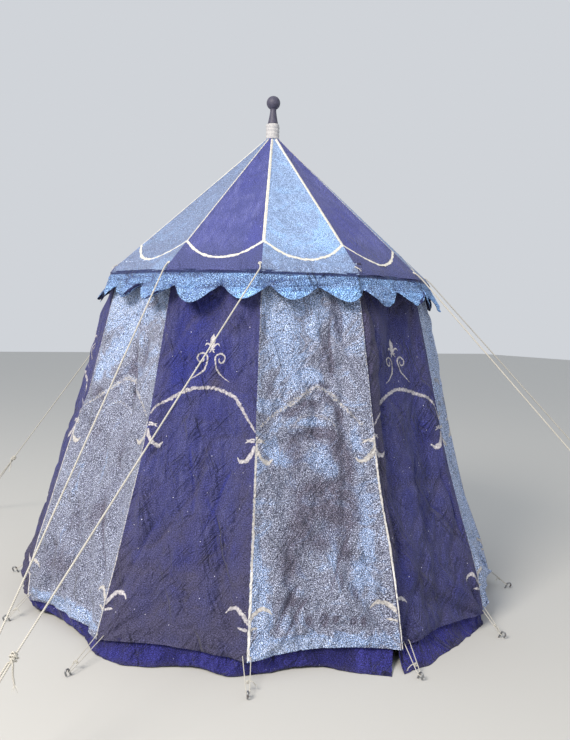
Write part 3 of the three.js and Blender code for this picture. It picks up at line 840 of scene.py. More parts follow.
DOOR_LIGHT_STAINS = [
    (0.12, 1.72, 0.04, 0.07, 0.7), (0.15, 1.62, 0.03, 0.09, 0.9), (0.07, 1.50, 0.03, 0.10, 0.8),
    (0.11, 1.42, 0.03, 0.06, 0.7), (0.04, 1.30, 0.05, 0.03, 0.9), (0.10, 1.25, 0.05, 0.03, 0.9),
    (-0.02, 1.22, 0.06, 0.025, 0.9), (-0.11, 1.18, 0.06, 0.03, 0.8), (-0.22, 1.30, 0.03, 0.06, 0.6),
    (0.14, 1.17, 0.03, 0.05, 0.8), (0.02, 1.08, 0.09, 0.03, 0.8), (0.12, 1.02, 0.04, 0.07, 0.9),
    (0.17, 0.92, 0.04, 0.08, 0.7), (-0.10, 0.98, 0.04, 0.10, 0.5), (0.08, 0.76, 0.11, 0.09, 1.0),
    (0.14, 0.66, 0.07, 0.07, 0.9), (-0.08, 0.66, 0.07, 0.11, 0.8), (-0.02, 0.80, 0.05, 0.05, 0.6),
    (0.0, 0.98, 0.22, 0.16, 0.25), (-0.16, 0.50, 0.06, 0.12, 0.7), (0.14, 0.52, 0.05, 0.05, 0.7),
    (0.02, 0.56, 0.06, 0.05, 0.6), (-0.15, 0.31, 0.08, 0.03, 0.7), (-0.13, 0.228, 0.020, 0.016, 0.6),
    (-0.065, 0.222, 0.016, 0.022, 1.4), (0.012, 0.222, 0.015, 0.028, 1.6), (0.066, 0.226, 0.014, 0.018, 1.1),
    (0.150, 0.214, 0.016, 0.018, 1.4), (0.198, 0.208, 0.013, 0.022, 1.2), (0.10, 0.40, 0.014, 0.040, 0.7),
    (0.17, 0.33, 0.014, 0.035, 0.6),
]
DOOR_LIGHT_BRIGHTS = [
    (-0.17, 1.66, 0.08, 0.14, 0.6), (-0.10, 1.45, 0.10, 0.16, 0.7), (0.00, 1.35, 0.07, 0.03, 0.8),
    (-0.22, 1.00, 0.05, 0.05, 1.0), (-0.16, 0.95, 0.06, 0.03, 0.9), (-0.03, 1.13, 0.10, 0.025, 0.8),
    (0.03, 0.96, 0.06, 0.06, 0.7), (0.09, 0.90, 0.05, 0.05, 0.6), (0.22, 1.04, 0.03, 0.05, 0.8),
    (-0.31, 0.38, 0.04, 0.16, 1.0), (-0.29, 0.24, 0.05, 0.05, 1.0), (-0.23, 0.12, 0.12, 0.04, 1.5),
    (0.07, 0.50, 0.03, 0.06, 0.7), (0.19, 0.44, 0.03, 0.08, 0.7), (0.25, 0.62, 0.04, 0.25, 0.6),
    (0.05, 0.12, 0.28, 0.035, 1.4),
]
SIDE_LIGHT_BRIGHTS = [
    (-0.03, 1.56, 0.05, 0.06, 1.0), (-0.08, 1.47, 0.06, 0.05, 1.1), (-0.16, 1.38, 0.05, 0.06, 1.1),
    (-0.23, 1.31, 0.04, 0.05, 1.0), (-0.20, 1.63, 0.07, 0.07, 1.0), (-0.12, 1.71, 0.14, 0.06, 1.0),
    (-0.15, 0.75, 0.02, 0.25, 0.6), (0.00, 0.85, 0.02, 0.20, 0.6), (0.00, 0.12, 0.35, 0.035, 1.6),
]
SIDE_LIGHT_STAINS = [
    (-0.18, 1.20, 0.07, 0.05, 0.8), (-0.05, 1.28, 0.04, 0.10, 0.6), (0.03, 1.36, 0.03, 0.06, 0.8),
    (0.12, 1.42, 0.04, 0.10, 0.5), (-0.12, 1.00, 0.10, 0.12, 0.4), (0.12, 0.95, 0.06, 0.10, 0.4),
    (0.08, 0.60, 0.10, 0.12, 0.5), (-0.10, 0.55, 0.08, 0.10, 0.4), (-0.10, 0.30, 0.20, 0.12, 0.5),
]
print(len(DOOR_LIGHT_STAINS), "stains lie on the panel beside the door")

# %% Wall cloth
DOOR_LAP = 0.014
DOOR_STAND = 0.006
DOOR_TUCK = 0.004
FINE_COLUMNS, USUAL_COLUMNS = 97, 61
WALL_ROWS = 163


def weathering_and_painted_light(side, light):
    """Stain with painted shade, and brightness with painted light, of a wall: blots of its own, or drawn
    ones, and more by how high up it is.
    """
    # Darker towards the foot: partly grime, partly painted shade at the foot of the wall.
    foot_grime_and_shade = 0.45 * eased(side.height, 1.0, 0.15)
    if side.panel == DOOR_DARK:
        # The strip between the door's lap and the pleat is greyed as painted shade, and the top of the wall
        # is lifted as painted light where the valance shades it.
        behind = side.u - np.interp(side.height, PLEAT_HEIGHTS, PLEAT_PARTS)
        high = eased(side.height, 1.45, 1.7)
        stain = 0.4 * foot_grime_and_shade + 0.45 * eased(behind, 0.03, -0.03) + 0.15 * high
        bright = blots(side, drawn_blots(side.panel, 6, 0.5)) - 0.5 * high
    elif side.panel == DOOR_LIGHT:
        stain = blots(side, DOOR_LIGHT_STAINS) + 0.12 * eased(side.height, 1.3, 1.0)
        # Painted light brightens the top of the wall under the valance.
        bright = blots(side, DOOR_LIGHT_BRIGHTS) + 0.5 * eased(side.height, 1.45, 1.75)
    elif side.panel == SIDE_LIGHT:
        stain = blots(side, SIDE_LIGHT_STAINS)
        bright = blots(side, SIDE_LIGHT_BRIGHTS) - 0.3 * eased(side.height, 1.35, 1.1)
        # Painted light brightens the top of the wall under the valance.
        bright += 0.5 * eased(side.height, 1.5, 1.75)
    else:
        count, strength = (8, 0.45) if light else (3, 0.25)
        # The light panel on the right is lightened as painted light: less stain, no darker foot, and much
        # brighter.
        painted_lit = side.panel == PAINTED_LIT_PANEL
        stain = blots(side, drawn_blots(side.panel + 30, count, strength)) + (-0.15 if painted_lit else foot_grime_and_shade)
        bright = blots(side, drawn_blots(side.panel, 6, 0.7)) + (1.4 if painted_lit else 0.0)
    if not light:
        stain = stain + 0.10 * eased(np.abs(side.u), 0.5, 1.0)
    return stain, bright


wall_sides = []
for panel in range(PANELS):
    lap = DOOR_LAP if panel == DOOR_LIGHT else 0.0
    arch = HEM_ARCHES.get(panel, HEM_ARCH)
    columns = FINE_COLUMNS if panel in LONG_FOLDS else USUAL_COLUMNS
    side = Side(panel, wall_foot, wall_top, columns, WALL_ROWS, arch=arch, lap=lap, hollow=True)
    side.relief, crease_shade, fold_shadow = wall_relief(side)
    light = panel % 2 == 1
    finish, slot = WALL_FINISHES[panel % 2]
    stain, bright = weathering_and_painted_light(side, light)
    # Painted shade goes into the creases through the stain mask. A painted shadow line along the bottom of
    # each long fold goes through the stain mask on a light wall, and through the bright mask, which deepens
    # the blue, on a dark one.
    stain = stain + 0.35 * crease_shade + (0.7 if light else 0.0) * fold_shadow
    bright = bright + (0.0 if light else 0.6) * fold_shadow
    if panel == DOOR_DARK:
        side.relief += pleat(side)
        side.relief -= DOOR_TUCK * eased(side.u, -0.9, -1)
    if panel == DOOR_LIGHT:
        side.relief += DOOR_STAND * eased(side.u, LAP_START, 1.0)
    wall_cloth = cloth_piece(
        f"wall_cloth_{panel + 1:02d}",
        side.surface(),
        side.lining(WALL_CLOTH, WALL_SLACK),
        finish,
        slot,
        every=2,
        cloth=side.pattern(side.x, side.s),
        stain=stain,
        bright=bright,
    )
    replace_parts(wall_cloth, f"wall_panel_{panel + 1:02d}")
    wall_sides.append((side, wall_cloth))
wall_width = 2 * wall_sides[0][0].half(0)
wall_length = wall_sides[0][0].length
wall_area = (wall_width / 2 + wall_sides[0][0].half(wall_length)) * wall_length
print("each wall is cut", round(wall_width, 3), "by", round(wall_length, 3), "m, area", round(wall_area, 3))

# %% [markdown]
# ## Brushwork
#
# The ornament is painted by hand: scalloped arcs and seam lines on the roof, an arch with a fleur and a
# pair of scrolls on each dark wall, a faint arch and seam lines on each light one, and leaves at the seams.
# Each stroke is a thin skin of paint that follows a path over the finished folds, with the ragged width
# that a dry brush leaves. Its material is that of the cloth below it, so where the paint has worn the cloth
# shows on. Strokes are drawn in metres: x across the panel and height above the ground.

# %% Strokes that follow the cloth
# How far apart the points of a stroke are, and those of a long line.
STROKE_STEP = 0.006
LINE_STEP = 0.010
# The skin's thickness, and how far it lies off the cloth.
PAINT_SKIN = 0.0006
PAINT_LIFT = 0.0009
# Points across a stroke, from edge to edge, with the load of paint at each, and
# how long its ragged bits are.
ACROSS = np.array([-1, -0.55, 0, 0.55, 1])
LOADS_ACROSS = np.array([0.62, 0.9, 1.0, 0.9, 0.62])
RAGGED_LENGTH = 0.011


def smooth_path(points, step):
    """A smooth curve through the points, walked in equal steps: four points set the cubic of a stretch."""
    points = np.asarray(points, float)
    padded = np.vstack([2 * points[0] - points[1], points, 2 * points[-1] - points[-2]])
    before, start, end, after = padded[:-3], padded[1:-2], padded[2:-1], padded[3:]
    t = np.linspace(0, 1, 10, endpoint=False)[:, None, None]
    linear = (end - before) * t
    square = (2 * before - 5 * start + 4 * end - after) * t**2
    cube = (3 * start - before - 3 * end + after) * t**3
    fine = (2 * start + linear + square + cube) / 2
    fine = np.vstack([fine.swapaxes(0, 1).reshape(-1, points.shape[1]), points[-1:]])
    walked = np.concatenate([[0], np.cumsum(np.linalg.norm(np.diff(fine, axis=0), axis=1))])
    even = np.linspace(0, walked[-1], max(4, int(walked[-1] / step) + 1))
    return np.stack([np.interp(even, walked, fine[:, axis]) for axis in range(points.shape[1])], axis=1)


def stroke(points, width, ends=(0.3, 0.3), strength=1.0, ragged=0.35, seed=0, step=STROKE_STEP):
    """A brush stroke as a flat grid of (x, height, mask): the path spread both ways by a ragged width.

    The ends are the shares of the width that it starts and stops with, and strength is its load of paint.
    """
    path = smooth_path(points, step)
    count = len(path)
    heading = np.gradient(path, axis=0)
    heading /= np.linalg.norm(heading, axis=1, keepdims=True) + 1e-9
    sideways = np.stack([-heading[:, 1], heading[:, 0]], axis=1)
    part = np.linspace(0, 1, count)
    swell = ends[0] + (1 - ends[0]) * eased(part, 0, 0.3)
    swell *= ends[1] + (1 - ends[1]) * eased(part, 1, 0.7)
    place = np.arange(count) * step / RAGGED_LENGTH
    rough = np.stack([1 + ragged * ripple(place, place * 0 + side * 3.7, seed) for side in (0, 1)], axis=1)
    rough = np.where(ACROSS[None, :] < 0, rough[:, :1], rough[:, 1:])
    offset = ACROSS[None, :] * rough * (width / 2) * swell[:, None]
    flat = path[:, None, :] + offset[..., None] * sideways[:, None, :]
    mask = strength * LOADS_ACROSS[None, :] * np.ones((count, 1))
    return np.concatenate([flat, mask[..., None]], axis=-1)


def paint_on(name, side, strokes, material):
    """All the strokes of one side as one mesh, each a thin skin laid on the cloth's relief."""
    points, faces, pattern, mask, seen = [], [], [], [], 0
    for grid in strokes:
        x, height, strength = grid[..., 0], grid[..., 1], grid[..., 2]
        s = (height - side.foot[1]) / side.along[1]
        rows, columns = x.shape
        numbers = seen + np.arange(2 * rows * columns).reshape(2, rows, columns)
        top = side.on_cloth(x, height, PAINT_LIFT)
        for layer in (top, top + side.inward(PAINT_LIFT + PAINT_SKIN)):
            points.append(layer.reshape(-1, 3))
            pattern.append(side.pattern(x, s).reshape(-1, 3))
            mask.append(strength.ravel())
        front, back = numbers
        faces += quads(front[:, ::-1]) + quads(back)
        faces += rim(front[0, ::-1], back[0, ::-1], 1) + rim(front[-1], back[-1], 1)
        faces += rim(front[:, 0], back[:, 0], 1) + rim(front[::-1, -1], back[::-1, -1], 1)
        seen += 2 * rows * columns
    masks = {"cloth": np.concatenate(pattern), "paint": np.concatenate(mask)}
    return make_piece(name, np.concatenate(points), faces, material, masks)


print("a stroke has a point every", 1000 * STROKE_STEP, "mm")

# %% Lines and arcs on the roof
# Heights of the arc in the middle of a gore and at its seams, its width, and its
# load on the most worn gore.
ARC_LOW = 1.944
ARC_SEAM = 2.036
ARC_WIDTH = 0.0125
WORN_LOAD = 0.82
# Width and load of the line along each seam of the roof, by corner, and of the usual one.
ROOF_LINES = {10: (0.0045, 0.78), 11: (0.008, 1.0), 0: (0.008, 1.0), 1: (0.004, 0.75)}
USUAL_ROOF_LINE = (0.006, 0.9)


def roof_strokes(side):
    """An arc that dips as a parabola from seam to seam, and a line up each seam to the collar."""
    seam_half = side.half((ARC_SEAM - side.foot[1]) / side.along[1])
    x = np.linspace(-1, 1, 9) * seam_half
    arc = np.stack([x, ARC_LOW + (ARC_SEAM - ARC_LOW) * (x / seam_half) ** 2], axis=1)
    load = WORN_LOAD if side.panel == SIDE_LIGHT else 1.0
    strokes = [stroke(arc, ARC_WIDTH, (0.9, 0.9), load, 0.5, side.panel)]
    heights = np.linspace(ARC_SEAM - 0.01, side.foot[1] + side.length * side.along[1] - 0.01, 5)
    half = side.half((heights - side.foot[1]) / side.along[1])
    for sign in (-1, 1):
        corner = (side.panel + (sign > 0)) % PANELS
        width, load = ROOF_LINES.get(corner, USUAL_ROOF_LINE)
        line = np.stack([sign * (half - width / 2), heights], axis=1)
        strokes.append(stroke(line, width, (1, 1), load, 0.3, side.panel + 5 * sign, LINE_STEP))
    return strokes


for side, roof_gore in roof_sides:
    finish, slot = ROOF_FINISHES[side.panel % 2]
    arc_paint = paint_on(f"roof_brushwork_{side.panel + 1:02d}", side, roof_strokes(side), finish)
print("arcs dip", round(1000 * (ARC_SEAM - ARC_LOW)), "mm between the seams")


# %% Fleur, scrolls and arch of a dark wall
def mirrored(points, middle, sign):
    """Points given from an ornament's own middle, placed on the panel, and mirrored when sign is -1."""
    return [(middle + sign * x, height) for x, height in points]


def scroll_path():
    """A tail that sweeps up into a ring, whose radius shrinks from 32 to 6 mm in a turn and a sixth."""
    tail = [(0.108, 1.316), (0.070, 1.339), (0.036, 1.371)]
    part = np.linspace(0, 1, 14)
    angle = np.radians(204 - 420 * part)
    radius = 0.032 - 0.026 * part**1.4
    ring = np.stack([0.052 + radius * np.cos(angle), 1.424 + radius * np.sin(angle)], axis=1)
    return tail + ring.tolist()


# Two arches as the brush left them, and how far right of the middle the fleur over each stands.
ARCHES = (
    [(-0.296, 1.135), (-0.262, 1.172), (-0.202, 1.206), (-0.128, 1.250), (-0.038, 1.278), (0.040, 1.282)]
    + [(0.122, 1.263), (0.176, 1.232), (0.214, 1.190), (0.250, 1.143), (0.300, 1.080)],
    [(-0.292, 1.100), (-0.266, 1.122), (-0.200, 1.178), (-0.126, 1.244), (-0.037, 1.277), (0.066, 1.276)]
    + [(0.166, 1.250), (0.243, 1.209), (0.276, 1.164), (0.303, 1.099)],
)
FLEUR_MIDDLES = (0.018, 0.013)
# Panels that have the second of each.
SECOND_ARCH_PANELS = (0, 4)


def crest(middle, seed):
    """The fleur over its scrolls: a bud and a band, then a petal, a short leg and a scroll on each side."""
    bud = [(middle, 1.472), (middle, 1.512), (middle, 1.550)]
    band = [(middle - 0.016, 1.472), (middle + 0.016, 1.472)]
    strokes = [stroke(bud, 0.028, (0.35, 0.12), 1.0, 0.15, seed)]
    strokes.append(stroke(band, 0.006, (0.8, 0.8), 1.0, 0.2, seed + 1))
    for sign in (-1, 1):
        petal = mirrored([(0.004, 1.474), (0.014, 1.492), (0.030, 1.500), (0.041, 1.488)], middle, sign)
        leg = mirrored([(0.003, 1.472), (0.008, 1.462), (0.015, 1.455)], middle, sign)
        scroll = mirrored(scroll_path(), middle, sign)
        strokes.append(stroke(petal, 0.009, (0.5, 0.3), 0.95, 0.3, seed + 2 + sign))
        strokes.append(stroke(leg, 0.008, (0.8, 0.4), 0.95, 0.3, seed + 5 + sign))
        strokes.append(stroke(scroll, 0.009, (0.3, 1.0), 0.90, 0.4, seed + 8 + sign))
    return strokes


print("a crest spans", round(crest(0.0, 0)[-1][..., 0].max() * 2000), "mm")


# %% Leaves and lines at the seams
# Each leaf is its points, as distance in from the seam and height, then its
# width and how blunt its ends are.
MID_LEAVES = (
    ([(0.004, 1.046), (0.026, 1.044), (0.056, 1.026)], 0.010, (0.9, 0.2)),
    ([(0.004, 1.034), (0.028, 1.036), (0.052, 1.044)], 0.009, (0.9, 0.2)),
    ([(0.006, 1.016), (0.016, 0.984), (0.042, 0.950), (0.076, 0.938), (0.096, 0.956)], 0.024, (0.5, 0.3)),
)
HEM_LEAVES = (
    ([(0.008, 0.236), (0.026, 0.268), (0.058, 0.288), (0.095, 0.281), (0.114, 0.262)], 0.020, (0.6, 0.25)),
    ([(0.003, 0.224), (0.010, 0.252), (0.024, 0.274)], 0.010, (0.9, 0.4)),
    ([(0.004, 0.200), (0.024, 0.207), (0.046, 0.210)], 0.013, (0.9, 0.4)),
)


def from_seam(side, sign, points):
    """Points given as distance in from a seam and height, placed on the panel: sign -1 is its left seam."""
    inset, height = np.array(points).T
    half = side.half((height - side.foot[1]) / side.along[1])
    return np.stack([sign * (half - inset), height], axis=1)


def seam_leaves(side, sign, strength, lift, seed):
    """Two short leaves over a crescent at mid height, raised by lift, and a leaf over two by the hem."""
    strokes = []
    for number, (points, width, ends) in enumerate(MID_LEAVES + HEM_LEAVES):
        raised = [(inset, height + lift * (number < len(MID_LEAVES))) for inset, height in points]
        strokes.append(stroke(from_seam(side, sign, raised), width, ends, strength, 0.4, seed + number))
    return strokes


def seam_line(side, sign, low, high, width, strength, seed):
    """A painted line close along a seam, between two heights."""
    points = [(width / 2 + 0.001, height) for height in np.linspace(low, high, 6)]
    return stroke(from_seam(side, sign, points), width, (1, 1), strength, 0.45, seed, LINE_STEP)


# The line down each wall seam, by corner: its width, then its load near the hem,
# up to the mid leaves and above.
SEAM_LINES = {10: (0.006, (0.8, 0.62, 0.3)), 11: (0.012, (1.4, 0.82, 0.42)), 0: (0.009, (1.3, 1.0, 0.5))}
USUAL_LINE = (0.007, (1.0, 0.9, 0.6))
LINE_HEIGHTS = (0.075, 0.45, 1.06, 1.84)
# Above the mid leaves a line has this share of its width.
HIGH_LINE = 0.6
# Leaves at some seams were painted higher: metres, for the mid leaves, by panel and side.
LEAF_LIFTS = {(10, -1): 0.045, (9, 1): 0.045, (0, -1): 0.020, (0, 1): 0.020, (1, -1): 0.020}
# What is left of an arch and of a smaller one inside it on a light wall.
FAINT_ARCH = [(-0.275, 1.108), (-0.216, 1.157), (-0.145, 1.201), (-0.074, 1.245), (0.0, 1.292)]
FAINT_ARCH += [(0.033, 1.300), (0.080, 1.280), (0.127, 1.240), (0.185, 1.184), (0.254, 1.116)]
INNER_ARCH = [(-0.103, 1.074), (-0.090, 1.129), (-0.030, 1.167)]
INNER_ARCH += [(0.040, 1.162), (0.098, 1.128), (0.131, 1.061)]


def wall_strokes(side):
    """The paint on one wall: crest and arch on a dark one, a faint arch and seam lines on a light one."""
    seed = 100 * side.panel
    light = side.panel % 2 == 1
    variant = int(side.panel in SECOND_ARCH_PANELS)
    strokes = []
    for sign in (-1, 1):
        lift = LEAF_LIFTS.get((side.panel, sign), 0.0)
        strokes += seam_leaves(side, sign, 0.80 if light else 0.95, lift, seed + 20 * sign)
        if light:
            corner = (side.panel + (sign > 0)) % PANELS
            width, loads = SEAM_LINES.get(corner, USUAL_LINE)
            for low, high, load in zip(LINE_HEIGHTS[:-1], LINE_HEIGHTS[1:], loads):
                wide = width * (HIGH_LINE if high == LINE_HEIGHTS[-1] else 1)
                strokes.append(seam_line(side, sign, low, high, wide, load, seed + 50 * sign))
    if light:
        strokes.append(stroke(FAINT_ARCH, 0.028, (0.6, 0.6), 0.54, 0.5, seed + 80))
        strokes.append(stroke(INNER_ARCH, 0.016, (0.4, 0.4), 0.45, 0.5, seed + 81))
    else:
        strokes.append(stroke(ARCHES[variant], 0.020, (0.6, 0.6), 0.80, 0.4, seed + 80))
        strokes += crest(FLEUR_MIDDLES[variant], seed + 90)
    return strokes


for side, wall_cloth in wall_sides:
    finish, slot = WALL_FINISHES[side.panel % 2]
    brushwork = paint_on(f"wall_brushwork_{side.panel + 1:02d}", side, wall_strokes(side), finish)
print("brushwork lies", 1000 * PAINT_LIFT, "mm over the cloth")

# %% [markdown]
# ## Valance
#
# A light blue strip hangs from the eave all round, its lower edge cut in twenty-five scallops. Along its top
# a dark band is painted as the shadow of the roof's hem. It is one ply of thin canvas, so it wrinkles along
# its length, and the scallops curl out. The edges of four of them have rolled outward and show their dark
# backs. The surface takes c, which counts corners round the tent, and t, from the seam at the top to the
# edge.

# %% Valance cloth
SCALLOPS = 25
# Where the cusp before the first scallop is, in corners round the tent.
FIRST_CUSP = -0.911
# Depths below the seam: of the band over the scallops, of a scallop, and of the dark line painted along the
# top as the shadow of the roof's hem.
BAND_DEPTH = 0.080
SCALLOP_DEPTH = 0.088
EAVE_SHADOW = 0.021
VALANCE_CLOTH = 0.002
VALANCE_COLUMNS = SCALLOPS * 24
VALANCE_ROWS = 37
# Metres of cloth from one corner to the next.
CORNER_GIRTH = 0.5
# Scallops whose edge has rolled outward: their number, where along them it is rolled most, and how far.
ROLLED = ((21, 0.72, 0.030), (22, 0.60, 0.020), (3, 0.80, 0.014), (15, 0.30, 0.026))


def round_tent(corner_count, depth, top, slope):
    """Points of the leaning wall at c corners round and so far below its top, and the way outwards."""
    side_number = np.floor(corner_count)
    share = (corner_count - side_number - 0.5) * 2
    angle = (side_number + 0.5) * STEP
    apothem = top[0] - slope[0] * depth
    height = top[1] - slope[1] * depth
    out = np.stack([np.sin(angle), -np.cos(angle), np.zeros_like(angle)], axis=-1)
    across = np.stack([np.cos(angle), np.sin(angle), np.zeros_like(angle)], axis=-1)
    point = apothem[..., None] * out + (share * apothem * HALF_TAN)[..., None] * across
    point[..., 2] = height
    bearing_angle = angle + np.arctan(share * HALF_TAN)
    radial = np.stack([np.sin(bearing_angle), -np.cos(bearing_angle), np.zeros_like(angle)], axis=-1)
    return point, radial


wall_slope = wall_sides[0][0].along
corners_round = np.arange(VALANCE_COLUMNS) * (PANELS / VALANCE_COLUMNS)
c, t = np.meshgrid(corners_round, np.linspace(1, 0, VALANCE_ROWS))
# The edge: a band, and below it scallops that are two powers of a sine mixed,
# each of its own depth and skew.
scallop = (c - FIRST_CUSP) * SCALLOPS / PANELS
number, within = np.floor(scallop) % SCALLOPS, scallop - np.floor(scallop)
deep = SCALLOP_DEPTH * (1 + 0.16 * lattice(number, 0 * number, 3))
skewed = within + 0.10 * lattice(number, 0 * number + 2, 8) * np.sin(math.pi * within)
rounded = 0.55 * np.abs(np.sin(math.pi * skewed)) ** 0.75 + 0.45 * np.abs(np.sin(math.pi * skewed)) ** 1.5
edge_depth = BAND_DEPTH * (1 + 0.05 * ripple(c * 1.5, 0 * c, 9)) + deep * rounded
down = t * edge_depth
girth = c * CORNER_GIRTH
# Cloth past the line of a roll turns up outward.
roll = sum(depth * (number == which) * eased(np.abs(within - at), 0.34, 0.06) for which, at, depth in ROLLED)
past = np.maximum(roll - (edge_depth - down), 0)
turned_over = eased(past, 0.0, 0.006)
# How far it stands out: the free part curls and leans, all but the tape wrinkles, and the cusps pull in.
cusp = np.exp(-((np.minimum(within, 1 - within) / 0.09) ** 2)) * eased(down, 0.035, 0.085)
curl = 0.026 + 0.022 * lattice(number, 0 * number + 5, 4)
lean = 0.040 * lattice(number, 0 * number + 9, 6) * (within - 0.5)
free = eased(down, 0.035, 0.165)
wrinkle = 0.0045 * ripple(girth / 0.18, down / 0.020, 11) + 0.0045 * ripple(girth / 0.05, down / 0.06, 12)
lengthwise = crease(girth / 0.30, down / 0.030 + 0.4 * ripple(girth / 0.2, 0 * c, 17), 16)
tucked = -0.005 * eased(down, 0.016, 0.004)
standing = 0.004 + tucked + free * (curl + lean) + (wrinkle + 0.005 * lengthwise) * eased(down, 0.004, 0.03)
standing += 0.007 * turned_over + 0.25 * past - 0.012 * cusp
depth_line, outward = round_tent(c, down - 1.7 * past, valance_top, wall_slope)
valance_points = depth_line + standing[..., None] * outward
valance_pattern = np.stack([girth + 40, -down, 0 * down], axis=-1)
valance_thickness = VALANCE_CLOTH + 0.003 * eased(np.minimum(t, 1 - t), 0.0, 0.10)
valance_cloth = cloth_piece(
    "valance_cloth",
    valance_points,
    -(valance_thickness * (1 - 2 * turned_over))[..., None] * outward,
    valance_painted,
    "valance_blue",
    every=2,
    closed=True,
    # The dark band along the top is painted shadow under the roof's hem, in the colour of the cloth's back.
    back=0.9 * eased(down, EAVE_SHADOW + 0.003, EAVE_SHADOW - 0.003),
    cloth=valance_pattern,
    # Random patches stain it, and the cusps and the lengthwise creases are darkened as painted shade.
    stain=0.5 * eased(ripple(c * 0.9, down / 0.08, 14), 0.1, 0.8) - 0.8 * lengthwise**3 + 0.4 * cusp,
    # The lower part is lightened in patches, partly the cloth's own paler blue and partly painted light on
    # the lobes.
    bright=1.2 * eased(down, 0.05, 0.14) * eased(ripple(c * 0.8, 0 * c, 15), -0.6, 0.4),
)
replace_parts(valance_cloth, "valance")

# %% [markdown]
# ## Mud skirt
#
# A strip of ultramarine canvas is sewn inside the hem and lies out on the ground, in four lengths
# with an opening at the door. It hangs loose, so its edge wanders: it bulges beside the pegs,
# draws in between them, and splays widest by the door. The surface takes c round the tent and t
# from its seam down to its edge.

# %% Skirt cloth
SKIRT_CLOTH = 0.002
# How far up inside the wall it is sewn, what part of its depth lies in there,
# and how far it is from the wall.
SKIRT_SEAM = 0.060
SKIRT_TUCK = 0.30
SKIRT_INSET = 0.020
# Beside the door its ends slant by so many corners at the edge: on the left of the door, then on the right.
DOOR_SHEAR = (-0.10, -0.07)
# Where its edge lies: corners to the right of the first corner left of the door, then millimetres
# out from the foot of the wall.
SPLAY = ((-3.0, 20), (-2.43, 24), (-2.1, -30), (-1.5, -60), (-1.07, 5), (-0.95, 29), (-0.79, 81))
SPLAY += ((-0.61, 69), (-0.48, 33), (-0.35, -13), (-0.27, 3), (-0.12, 26), (-0.04, 10), (0.03, -14))
SPLAY += ((0.17, -16), (0.31, -44), (0.49, -40), (0.55, -12), (0.67, 54), (0.79, 96), (0.86, 133))
SPLAY += ((0.93, 105), (1.03, 93), (1.15, 96), (1.31, 80), (1.50, 64), (1.73, 38), (1.91, 12))
SPLAY += ((2.06, -3), (2.2, -55), (2.9, -55), (3.5, 20))
# The same corners, then millimetres that the edge is off the ground.
EDGE_LIFTS = ((-3, 6), (-2, 16), (-1.3, 12), (-0.9, 2), (-0.35, 12), (0, 3), (0.35, 14), (0.6, 4), (0.9, 2))


def skirt_splay(corner_count):
    """How far the skirt's edge lies out from the wall's foot, and how far off the ground, in metres."""
    from_left = np.where(corner_count > PANELS / 2, corner_count - PANELS, corner_count) + 1
    known = np.interp(from_left, *zip(*SPLAY)) / 1000
    loose = 0.025 + 0.03 * ripple(corner_count * 1.9, 0 * corner_count, 31)
    seen = eased(from_left, -3.4, -3.0) * eased(from_left, 4.4, 4.0)
    lift = np.interp(from_left, *zip(*EDGE_LIFTS)) / 1000
    return known * seen + loose * (1 - seen), np.maximum(lift * seen, 0.002)


def inside_wall(corner_count, up):
    """Points just inside the walls' finished folds, some way up from the hem, with the bearing outwards."""
    points = np.zeros((*corner_count.shape, 3))
    for side, _ in wall_sides:
        here = np.floor(corner_count).astype(int) % PANELS == side.panel
        u = 2 * (corner_count[here] - np.floor(corner_count[here])) - 1
        s = side.arch * (1 - u**2) + up[here]
        height = side.foot[1] + s * side.along[1]
        points[here] = side.on_cloth(u * side.half(s), height, -SKIRT_INSET)
    return points


def skirt_points(corner_count, t, shear):
    """Down inside the wall to the hem, then in a curve with its middle low to the edge on the ground."""
    inner = inside_wall(corner_count, SKIRT_SEAM * np.clip(1 - t / SKIRT_TUCK, 0, 1))
    edge_count = corner_count + shear
    out_by, lift = skirt_splay(edge_count)
    base = np.array([wall_foot[0], 0.0])
    edge, outward = round_tent(edge_count, 0 * t, base, np.array([0.0, 1.0]))
    edge = edge + out_by[..., None] * outward
    edge[..., 2] = lift
    middle = inner + 0.30 * (edge - inner)
    middle[..., 2] = 0.30 * inner[..., 2]
    q = np.clip((t - SKIRT_TUCK) / (1 - SKIRT_TUCK), 0, 1)[..., None]
    points = (1 - q) ** 2 * inner + 2 * q * (1 - q) * middle + q**2 * edge
    wave = 0.012 * ripple(corner_count * 9, t * 1.2, 33) + 0.006 * ripple(corner_count * 26, t * 0.8, 34)
    return points + (wave * eased(t, SKIRT_TUCK + 0.05, 0.9))[..., None] * outward, outward


# Each length of skirt, from where to where in corners round the tent.
QUARTERS = {
    "front_right": (0.012, 3.0),
    "back_right": (3.0, 6.0),
    "back_left": (6.0, 9.0),
    "front_left": (9.0, 11.955),
}
for label, (first, last) in QUARTERS.items():
    c, t = np.meshgrid(np.linspace(first, last - 1e-6, 161), np.linspace(1, 0, 25))
    shear = DOOR_SHEAR[0] * eased(c, 11.4, 11.955) + DOOR_SHEAR[1] * eased(c, 0.5, 0.012)
    points, outward = skirt_points(c, t, shear)
    girth = c * wall_width
    skirt = cloth_piece(
        f"skirt_cloth_{label}",
        points,
        -(SKIRT_CLOTH + 0.008 * eased(np.minimum(t, 1 - t), 0.0, 0.12))[..., None] * outward,
        skirt_dyed,
        "skirt_blue",
        cloth=np.stack([girth + 60, -t * 0.15, 0 * t], axis=-1),
        stain=0.3 * eased(t, 0.75, 1.0),
        bright=0.6 * eased(ripple(c * 6, t, 35), 0.1, 0.7),
    )
    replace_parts(skirt, f"mud_skirt_{label}")

